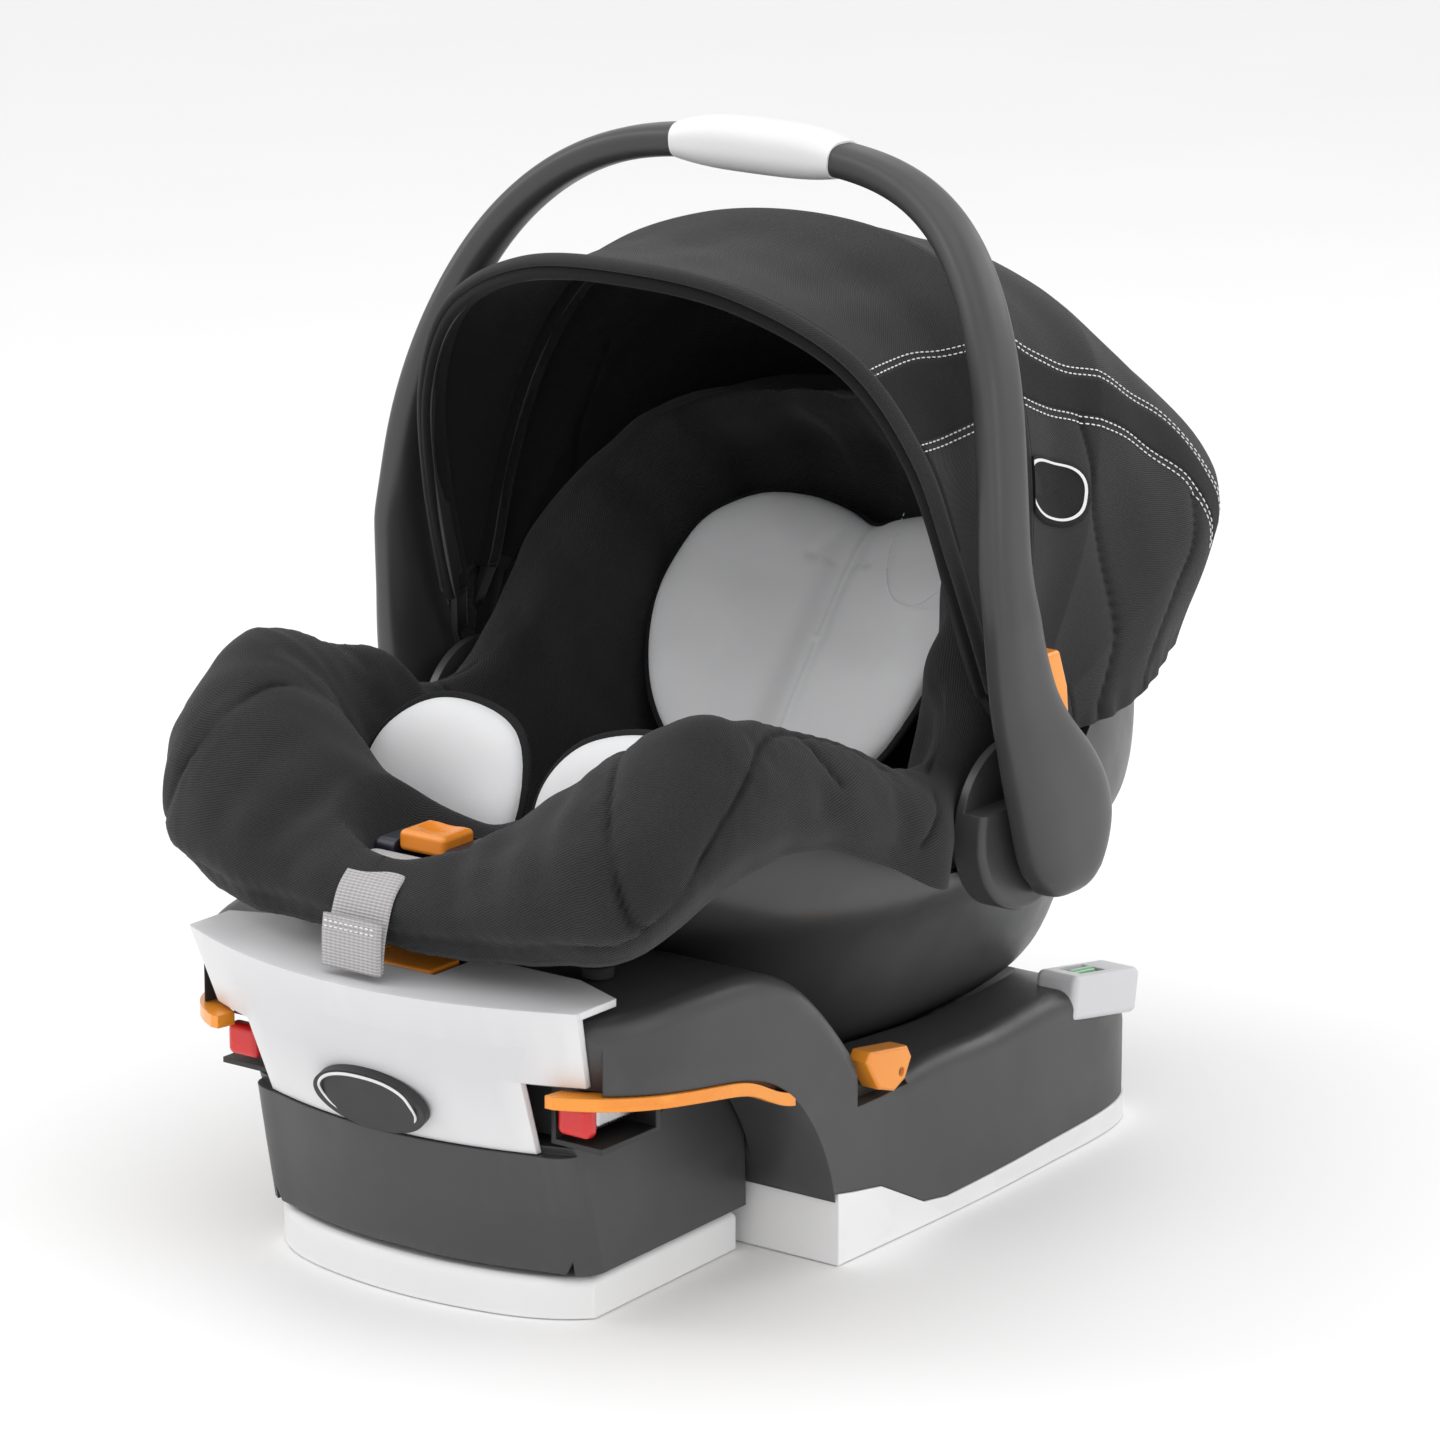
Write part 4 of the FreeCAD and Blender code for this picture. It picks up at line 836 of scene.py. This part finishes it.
# ---- canopy ---------------------------------------------------------------------
PIVOT = np.array([0, 16.0, 248.0])
FRONT_BOW = [(187, -8, 300), (179, -33, 372), (166, -50, 432), (133, -66, 482), (72, -82, 512), (0, -90, 520)]
MID_BOW = [(187, 22, 310), (180, 38, 380), (164, 52, 440), (132, 66, 488), (72, 78, 514), (0, 82, 522)]
REAR_TOP = [(186, 44, 300), (180, 90, 366), (162, 128, 424), (130, 156, 460), (72, 174, 484), (0, 180, 490)]
REAR_HIGH = [(190, 60, 284), (192, 126, 316), (186, 200, 346), (153, 257, 370), (82, 285, 386), (0, 293, 390)]
REAR_EDGE = [(191, 66, 262), (191, 112, 264), (180, 168, 276), (150, 222, 290), (84, 256, 302), (0, 268, 306)]


def arch(half, count=161):
    """A whole arch from its right-hand points, evenly spaced."""
    right = np.asarray(half, float)
    return even(catmull(np.vstack([right, right[-2::-1] * [-1, 1, 1]]), 800), count)


def loft(arches, counts):
    """A grid through several arches, with counts rows between each pair."""
    rows = np.stack([arch(a) for a in arches])
    total = sum(counts) + 1
    t = np.concatenate([np.linspace(i, i + 1, c, endpoint=False) for i, c in enumerate(counts)] + [[len(counts)]])
    out = np.zeros((total, rows.shape[1], 3))
    ext = np.concatenate([2 * rows[:1] - rows[1:2], rows, 2 * rows[-1:] - rows[-2:-1]])
    for k, tk in enumerate(t):
        i = min(int(tk), len(counts) - 1)
        f = tk - i
        a, b, c, d = ext[i], ext[i + 1], ext[i + 2], ext[i + 3]
        out[k] = 0.5 * (2 * b + (c - a) * f + (2 * a - 5 * b + 4 * c - d) * f ** 2 + (3 * b - a - 3 * c + d) * f ** 3)
    return out


def pull(P, amount):
    """Moves points towards the canopy's pivot axis by amount millimetres."""
    d = P - PIVOT
    d[..., 0] *= 0.75
    return P - d / np.linalg.norm(d, axis=-1, keepdims=True) * np.asarray(amount)[..., None]


# Topstitching and seams on the canopy's right side: (u, v), where u counts the arches from the
# front of the piece and v runs from -1 at the right foot to 0 at the top.
FRONT_ROWS = {
    "upper": [(0, -0.452), (0.34, -0.438), (0.6, -0.452), (1, -0.478)],
    "lower": [(0, -0.588), (0.4, -0.586), (0.8, -0.586), (1, -0.588)],
}
REAR_ROWS = {
    "upper": [(0, -0.478), (0.4, -0.497), (0.75, -0.503), (1.18, -0.488), (1.48, -0.468), (1.8, -0.49), (2.2, -0.50)],
    "lower": [(0, -0.588), (0.6, -0.588), (0.98, -0.586), (1.32, -0.566), (1.6, -0.560), (1.8, -0.568), (2.2, -0.592)],
}
CANOPY_SEAMS = [
    [(0.82, -0.590), (0.95, -0.66), (1.09, -0.738), (1.6, -0.83), (2.57, -0.912), (2.95, -0.93)],
    [(1.77, -0.575), (2.0, -0.65), (2.2, -0.71), (2.70, -0.775), (2.95, -0.79)],
]
ROW_GAP = 0.0115            # half the distance between the two lines of stitching, as v
PATCH_AT = (0.40, -0.722)


def track(G, spans, points, count, lift=0.0, side=1):
    """A path over a canopy grid from (u, v) points, lifted off the cloth by lift millimetres."""
    uv = catmull(points, count)
    return on_grid(G, spans, uv[:, 0], uv[:, 1] * side, lift)


def on_grid(G, spans, u, v, lift=0.0):
    """Points on a canopy grid at (u, v), lifted off the cloth."""
    rows, cols = G.shape[:2]
    fu = np.clip(np.asarray(u) / spans, 0, 1) * (rows - 1)
    fv = (np.clip(v, -1, 1) + 1) / 2 * (cols - 1)
    i = np.minimum(fu.astype(int), rows - 2)
    j = np.minimum(fv.astype(int), cols - 2)
    a, b = (fu - i)[..., None], (fv - j)[..., None]
    p = (G[i, j] * (1 - a) + G[i + 1, j] * a) * (1 - b) + (G[i, j + 1] * (1 - a) + G[i + 1, j + 1] * a) * b
    return pull(p, np.full(p.shape[:-1], -lift))


def make_topstitch(name, G, spans, rows):
    """Double rows of light stitching on both sides of one canopy piece."""
    runs = []
    for points in rows.values():
        for side in (1, -1):
            for gap in (-ROW_GAP / 2, ROW_GAP / 2):
                shifted = [(u, v + gap) for u, v in points]
                line = track(G, spans, shifted, 500, 0.55, side)
                runs.append(stitches(name, line * MM, 0.0031, 0.0011, 0.00042))
    obj = join(name, runs)
    dress(obj, "thread_white")
    return obj


def make_band(name, G, spans, rows):
    """The smooth black band between the two double rows, as two pieces of cloth in one object."""
    pieces = []
    for side in (1, -1):
        top = catmull(rows["upper"], 90)
        low = catmull(rows["lower"], 90)
        low_v = np.interp(top[:, 0], low[:, 0], low[:, 1])
        t = np.linspace(0, 1, 26)[None, :]
        v = (top[:, 1:] - ROW_GAP) * (1 - t) + (low_v[:, None] + ROW_GAP) * t
        u = np.repeat(top[:, :1], 26, axis=1)
        edge = np.minimum(t, 1 - t)
        patch = pull(on_grid(G, spans, u, v * side), -0.35 - 0.5 * smooth(edge, 0, 0.05) + 0 * u)
        pieces.append(grid_object(name, patch * MM, flip=side > 0))
    obj = join(name, pieces)
    dress(obj, "fabric_band")
    return obj


def make_patch(G):
    """A blank sewn patch with a light outline on the canopy's right side."""
    a = np.linspace(0, 2 * math.pi, 72, endpoint=False)
    radii = np.array([1.0, 0.985, 0.93, 0.9, 0.875, 0.80, 0.775, 0.75, 0.4, 0.05])
    height = np.array([0.5, 1.5, 1.7, 1.9, 2.2, 2.2, 1.9, 1.7, 1.7, 1.7])
    wide, tall = squircle(72, 2.7)
    u = PATCH_AT[0] + wide[:, None] * radii[None] * 0.56
    v = PATCH_AT[1] + tall[:, None] * radii[None] * 0.054
    P = pull(on_grid(G, 3, u, v), -height[None] + 0 * u)
    obj = grid_object("canopy_patch", P * MM, close_u=True, cap=True)
    dress(obj, "fabric_band")
    obj.data.materials.append(MATS["fabric_white"])
    for face in obj.data.polygons:
        ring = min(v % len(radii) for v in face.vertices) if len(face.vertices) == 4 else 0
        if ring == 4:
            face.material_index = 1
    n = obj.data.polygons[10].normal
    if n.x < 0:
        obj.data.flip_normals()
    return obj


def make_canopy():
    # front piece, between the two bows
    F = loft([FRONT_BOW, MID_BOW], [56])
    u = np.linspace(0, 1, F.shape[0])[:, None]
    v = np.linspace(-1, 1, F.shape[1])[None, :]
    sag = 7.0 * np.sin(u * math.pi) * (1 - v ** 2 * 0.6)
    sag = sag + value_noise(F, 60.0, 31) * 0.8 * np.sin(u * math.pi)
    F = pull(F, sag)
    front = grid_object("canopy_front_cloth", F * MM, thickness=0.0014, offset=-1.0)
    dress(front, "fabric_charcoal")

    R = loft([MID_BOW, REAR_TOP, REAR_HIGH, REAR_EDGE], [44, 44, 44])
    u = np.linspace(0, 3, R.shape[0])[:, None]
    sag = 4.0 * np.sin(np.clip(u, 0, 1) * math.pi) + 3.0 * np.sin(np.clip(u - 1, 0, 1) * math.pi)
    sag = sag * (1 - v ** 2 * 0.5) + value_noise(R, 55.0, 33) * 1.0 * smooth(u, 0.1, 0.5)
    run = np.arange(R.shape[1])[None, :]
    gather = smooth(u, 2.55, 3.0) * (0.9 * np.sin(run * 1.37) + 0.6 * np.sin(run * 0.61 + 1.0) * np.sin(run * 0.13))
    R = pull(R, sag + gather)
    # weights for the painted shade along the seam grooves
    seam_shade_w = np.zeros(R.shape[:2])
    N = grid_normals(R)
    N = N if (N * (R - PIVOT)).sum() > 0 else -N
    for points in CANOPY_SEAMS:
        for side in (1, -1):
            line = track(R, 3, points, 220, 0.0, side)
            R, w = groove(R, line, 2.4, 1.6, N, taper=False)
            R, _ = groove(R, line, 9.0, 0.9, N, taper=False)
            seam_shade_w = np.maximum(seam_shade_w, w)
    rear = grid_object("canopy_rear_cloth", R * MM, thickness=0.0014, offset=-1.0)
    set_seam_shade(rear, seam_shade_w)
    dress(rear, "fabric_charcoal")
    details = {"front": [make_topstitch("canopy_front_stitching", F, 1, FRONT_ROWS), make_band("canopy_front_band", F, 1, FRONT_ROWS)],
               "rear": [make_topstitch("canopy_rear_stitching", R, 3, REAR_ROWS), make_band("canopy_rear_band", R, 3, REAR_ROWS),
                        make_patch(R)]}

    # gussets that close the cloth down to the pivots
    skirts = {"front": [], "rear": []}
    for part, G in (("front", F), ("rear", R)):
        for side, column in (("right", 0), ("left", -1)):
            top = G[:, column]
            low = np.stack([top[:, 0] * 1.004, 16 + (top[:, 1] - 16) * 0.45, np.full(len(top), 257.0)], 1)
            low[:, 2] = np.minimum(low[:, 2], top[:, 2] - 2)
            t = np.linspace(0, 1, 14)[None, :, None]
            gusset = grid_object(f"canopy_{part}_gusset_{side}", (top[:, None] * (1 - t) + low[:, None] * t) * MM)
            dress(gusset, "fabric_charcoal")
            skirts[part].append(gusset)
    details["front"] += skirts["front"]
    details["rear"] += skirts["rear"]

    # linings, a little inside
    lining_front = grid_object("canopy_front_lining", pull(F[2:-1, 2:-2], 3.2 + 0 * F[2:-1, 2:-2, 0]) * MM)
    lining_rear = grid_object("canopy_rear_lining", pull(R[1:-2, 2:-2], 3.2 + 0 * R[1:-2, 2:-2, 0]) * MM)
    for o in (lining_front, lining_rear):
        dress(o, "fabric_lining")

    # folded front rim, a flattened band round the front bow
    rim_path = arch(FRONT_BOW, 220)
    outv = rim_path - PIVOT
    outv[:, 0] *= 0.75
    outv /= np.linalg.norm(outv, axis=1, keepdims=True)
    rim = tube("canopy_rim", (rim_path - outv * 1.0) * MM, 0.010, 0.006, sides=14, up=outv)
    dress(rim, "fabric_charcoal")

    # channels that hold the bows
    mid = pull(arch(MID_BOW, 200), 6.5 + 0 * arch(MID_BOW, 200)[:, 0])
    outm = mid - PIVOT
    outm /= np.linalg.norm(outm, axis=1, keepdims=True)
    channel = tube("canopy_mid_channel", mid * MM, 0.020, 0.009, sides=14, up=outm)
    dress(channel, "fabric_lining")
    frontc = pull(arch(FRONT_BOW, 200) + [0, 3, 0], 6.5 + 0 * arch(FRONT_BOW, 200)[:, 0])
    outf = frontc - PIVOT
    outf /= np.linalg.norm(outf, axis=1, keepdims=True)
    channel_front = tube("canopy_front_channel", frontc * MM, 0.020, 0.009, sides=14, up=outf)
    dress(channel_front, "fabric_lining")

    for o in [front, lining_front] + details["front"]:
        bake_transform(o)
    for o in [rear, lining_rear] + details["rear"]:
        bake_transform(o)
    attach(rim, "canopy_front")
    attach(channel_front, "canopy_front")
    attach(channel, "canopy_mid")
    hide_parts("canopy_front_panel")
    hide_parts("canopy_rear_panel")
    return F, R


# ---- carrying handle ------------------------------------------------------------
ARCH_HALF, ARCH_RISE, ARCH_POWER = 207.1, 339.35, 3.2
# Levels of the right-hand leg: height, front y, rear y, inner x, outer x.
LEG_LEVELS = [
    (184, 14, 27, 199.6, 214), (187, 6, 34, 199.6, 222), (192, 1, 41, 199.6, 226), (200, -9, 49, 199.6, 228),
    (208, -14, 54, 199.6, 228), (220, -18.5, 58, 199.6, 228), (232, -22, 57.6, 199.6, 228), (245, -26, 53.5, 199.6, 227.6),
    (258, -30, 45, 199.6, 226.8), (270, -32, 36, 199.6, 225), (284, -35, 22, 199.2, 222), (300, -37, 12, 198.6, 219.4),
    (325, -39.4, 3, 197.8, 217.6), (349, -41, -2, 197, 216.4),
]


def arch_point(t):
    """Centreline of the handle arch: t runs 0 at the right hub to pi at the left."""
    c = abs(math.cos(t)) ** (2 / ARCH_POWER)
    s = max(math.sin(t), 0.0) ** (2 / ARCH_POWER)
    return np.array([math.copysign(ARCH_HALF * c, math.cos(t)), 10.8 - 133.9 * s + 162.1 * s * s, 225.0 + ARCH_RISE * s])


def tube_size(t):
    """Width and thickness of the handle tube at t: it flares towards the hub."""
    rise = max(math.sin(t), 0.0) ** (2 / ARCH_POWER)
    flare = math.exp(-(rise * ARCH_RISE / 75) ** 2)
    return 26 + 13 * (1 - rise) + 44 * flare, 18.5 + 1.5 * (1 - rise)


def squircle(count, power):
    a = np.linspace(0, 2 * math.pi, count, endpoint=False)
    return (np.sign(np.cos(a)) * np.abs(np.cos(a)) ** (2 / power), np.sign(np.sin(a)) * np.abs(np.sin(a)) ** (2 / power))


def rings_object(name, rings, closed=False):
    """A skin through rings of equal length, with a fan over each open end."""
    R = np.asarray(rings, float)
    n, m = R.shape[:2]
    faces = []
    for i in range(n if closed else n - 1):
        for j in range(m):
            k, l = (i + 1) % n, (j + 1) % m
            faces.append((i * m + j, i * m + l, k * m + l, k * m + j))
    verts = R.reshape(-1, 3)
    if not closed:
        verts = np.vstack([verts, R[0].mean(0), R[-1].mean(0)])
        for j in range(m):
            faces.append((n * m, (j + 1) % m, j))
            faces.append((n * m + 1, (n - 1) * m + j, (n - 1) * m + (j + 1) % m))
    around = np.r_[0, np.cumsum(np.linalg.norm(np.diff(R[n // 2], axis=0), axis=1))]
    along = np.r_[0, np.cumsum(np.linalg.norm(np.diff(R.mean(1), axis=0), axis=1))]
    uv = np.stack([np.repeat(along, m), np.tile(around, n)], 1)
    uv = np.vstack([uv, uv[:1], uv[-1:]])[:len(verts)]
    return new_object(name, verts * MM, faces, uv * MM)


def make_handle():
    count = 56
    ca, sa = squircle(count, 2.9)
    levels = np.array(LEG_LEVELS, float)
    z = np.concatenate([np.linspace(184, 200, 10)[:-1], np.linspace(200, 349, 46)])
    leg = []
    for h in z:
        front, rear, inner, outer = (np.interp(h, levels[:, 0], levels[:, k]) for k in (1, 2, 3, 4))
        y = (front + rear) / 2 + (rear - front) / 2 * ca
        x = (inner + outer) / 2 + (outer - inner) / 2 * sa
        leg.append(np.stack([x, y, np.full(count, h)], 1))
    leg = np.array(leg)
    for _ in range(2):
        leg[1:-1] = leg[1:-1] * 0.5 + (leg[:-2] + leg[2:]) * 0.25
    arch_rings = []
    for t in np.linspace(0.225, math.pi - 0.225, 130):
        wide, thick = tube_size(t)
        here, ahead = arch_point(t), arch_point(t + 0.01) - arch_point(t - 0.01)
        here = here + np.array([0, -5.0 * (1 - smooth(here[2], 360, 480)), 0])
        depth = np.cross(ahead, [math.cos(t), 0.0, math.sin(t)])
        depth /= np.linalg.norm(depth)
        out = np.cross(depth, ahead)
        out /= np.linalg.norm(out)
        arch_rings.append(here + depth * (ca[:, None] * wide / 2) + out * (sa[:, None] * thick / 2))
    other = leg * [-1, 1, 1]
    rings = np.concatenate([leg, arch_rings, other[::-1]])
    for _ in range(5):
        rings[9:-9] = rings[9:-9] * 0.5 + (rings[8:-10] + rings[10:-8]) * 0.25
    bow = rings_object("handle_shell", rings)
    dress(bow, "dark_plastic")
    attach(bow, "handle")
    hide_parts("handle_bow")
    return bow


# ---- webbing --------------------------------------------------------------------
def make_adjuster_webbing():
    path = catmull([(0, -262, 233.5), (0, -276, 238), (0, -290, 236), (0, -303, 226), (0, -310, 210), (0, -313, 196), (0, -313.5, 187)], 60)
    strap = strip("adjuster_strap", path * MM, (1, 0, 0), 0.038, 0.0016)
    end = np.array([(0, -314.5, 214), (0, -315.8, 206), (0, -316.2, 196), (0, -316.2, 186.5)], float)
    fold = strip("adjuster_strap_end", even(end, 20) * MM, (1, 0, 0), 0.0395, 0.0034)
    rows = []
    for z in (208, 211):
        rows.append(stitches("adjuster_stitching", np.array([(x, -317.6, z) for x in (-17, 0, 17)]) * MM, 0.0022, 0.0012, 0.0004))
    for o, long in ((strap, 0.085), (fold, 0.029)):
        dress(o, "webbing_grey")
        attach(o, "carrier")
    thread = join("adjuster_stitching", rows)
    dress(thread, "thread_white")
    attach(thread, "carrier")
    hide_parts("adjuster_webbing")


# ---- front badge ----------------------------------------------------------------
def make_badge_outline():
    """A thin light line just inside the edge of the blank oval badge."""
    badge = NODES["front_badge"]
    corners = np.array([badge.matrix_world @ v.co for v in badge.data.vertices])
    low, high = corners.min(0), corners.max(0)
    middle, half = (low + high) / 2, (high - low) / 2
    wide, tall = squircle(90, 2.3)
    path = []
    for a, b in zip(wide, tall):
        x, z = middle[0] + a * half[0] * 0.84, middle[2] + b * half[2] * 0.78
        near = np.argsort(np.hypot(corners[:, 0] - x, corners[:, 2] - z))[:1]
        column = corners[np.hypot(corners[:, 0] - corners[near[0], 0], corners[:, 2] - corners[near[0], 2]) < 0.004]
        path.append((x, column[:, 1].min() - 0.0001, z))
    path = np.array(path)
    for _ in range(6):
        path[:, 1] = path[:, 1] * 0.5 + (np.roll(path[:, 1], 1) + np.roll(path[:, 1], -1)) * 0.25
    ring = tube("front_badge_outline", path, 0.0018, 0.0010, closed=True, sides=8, up=np.array([0, -1.0, 0]))
    dress(ring, "white_plastic")
    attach(ring, "base")


SAMPLE, STATIONS = make_seat_cover()
make_inserts()
FRONT_CLOTH, REAR_CLOTH = make_canopy()
make_adjuster_webbing()
make_handle()
make_badge_outline()
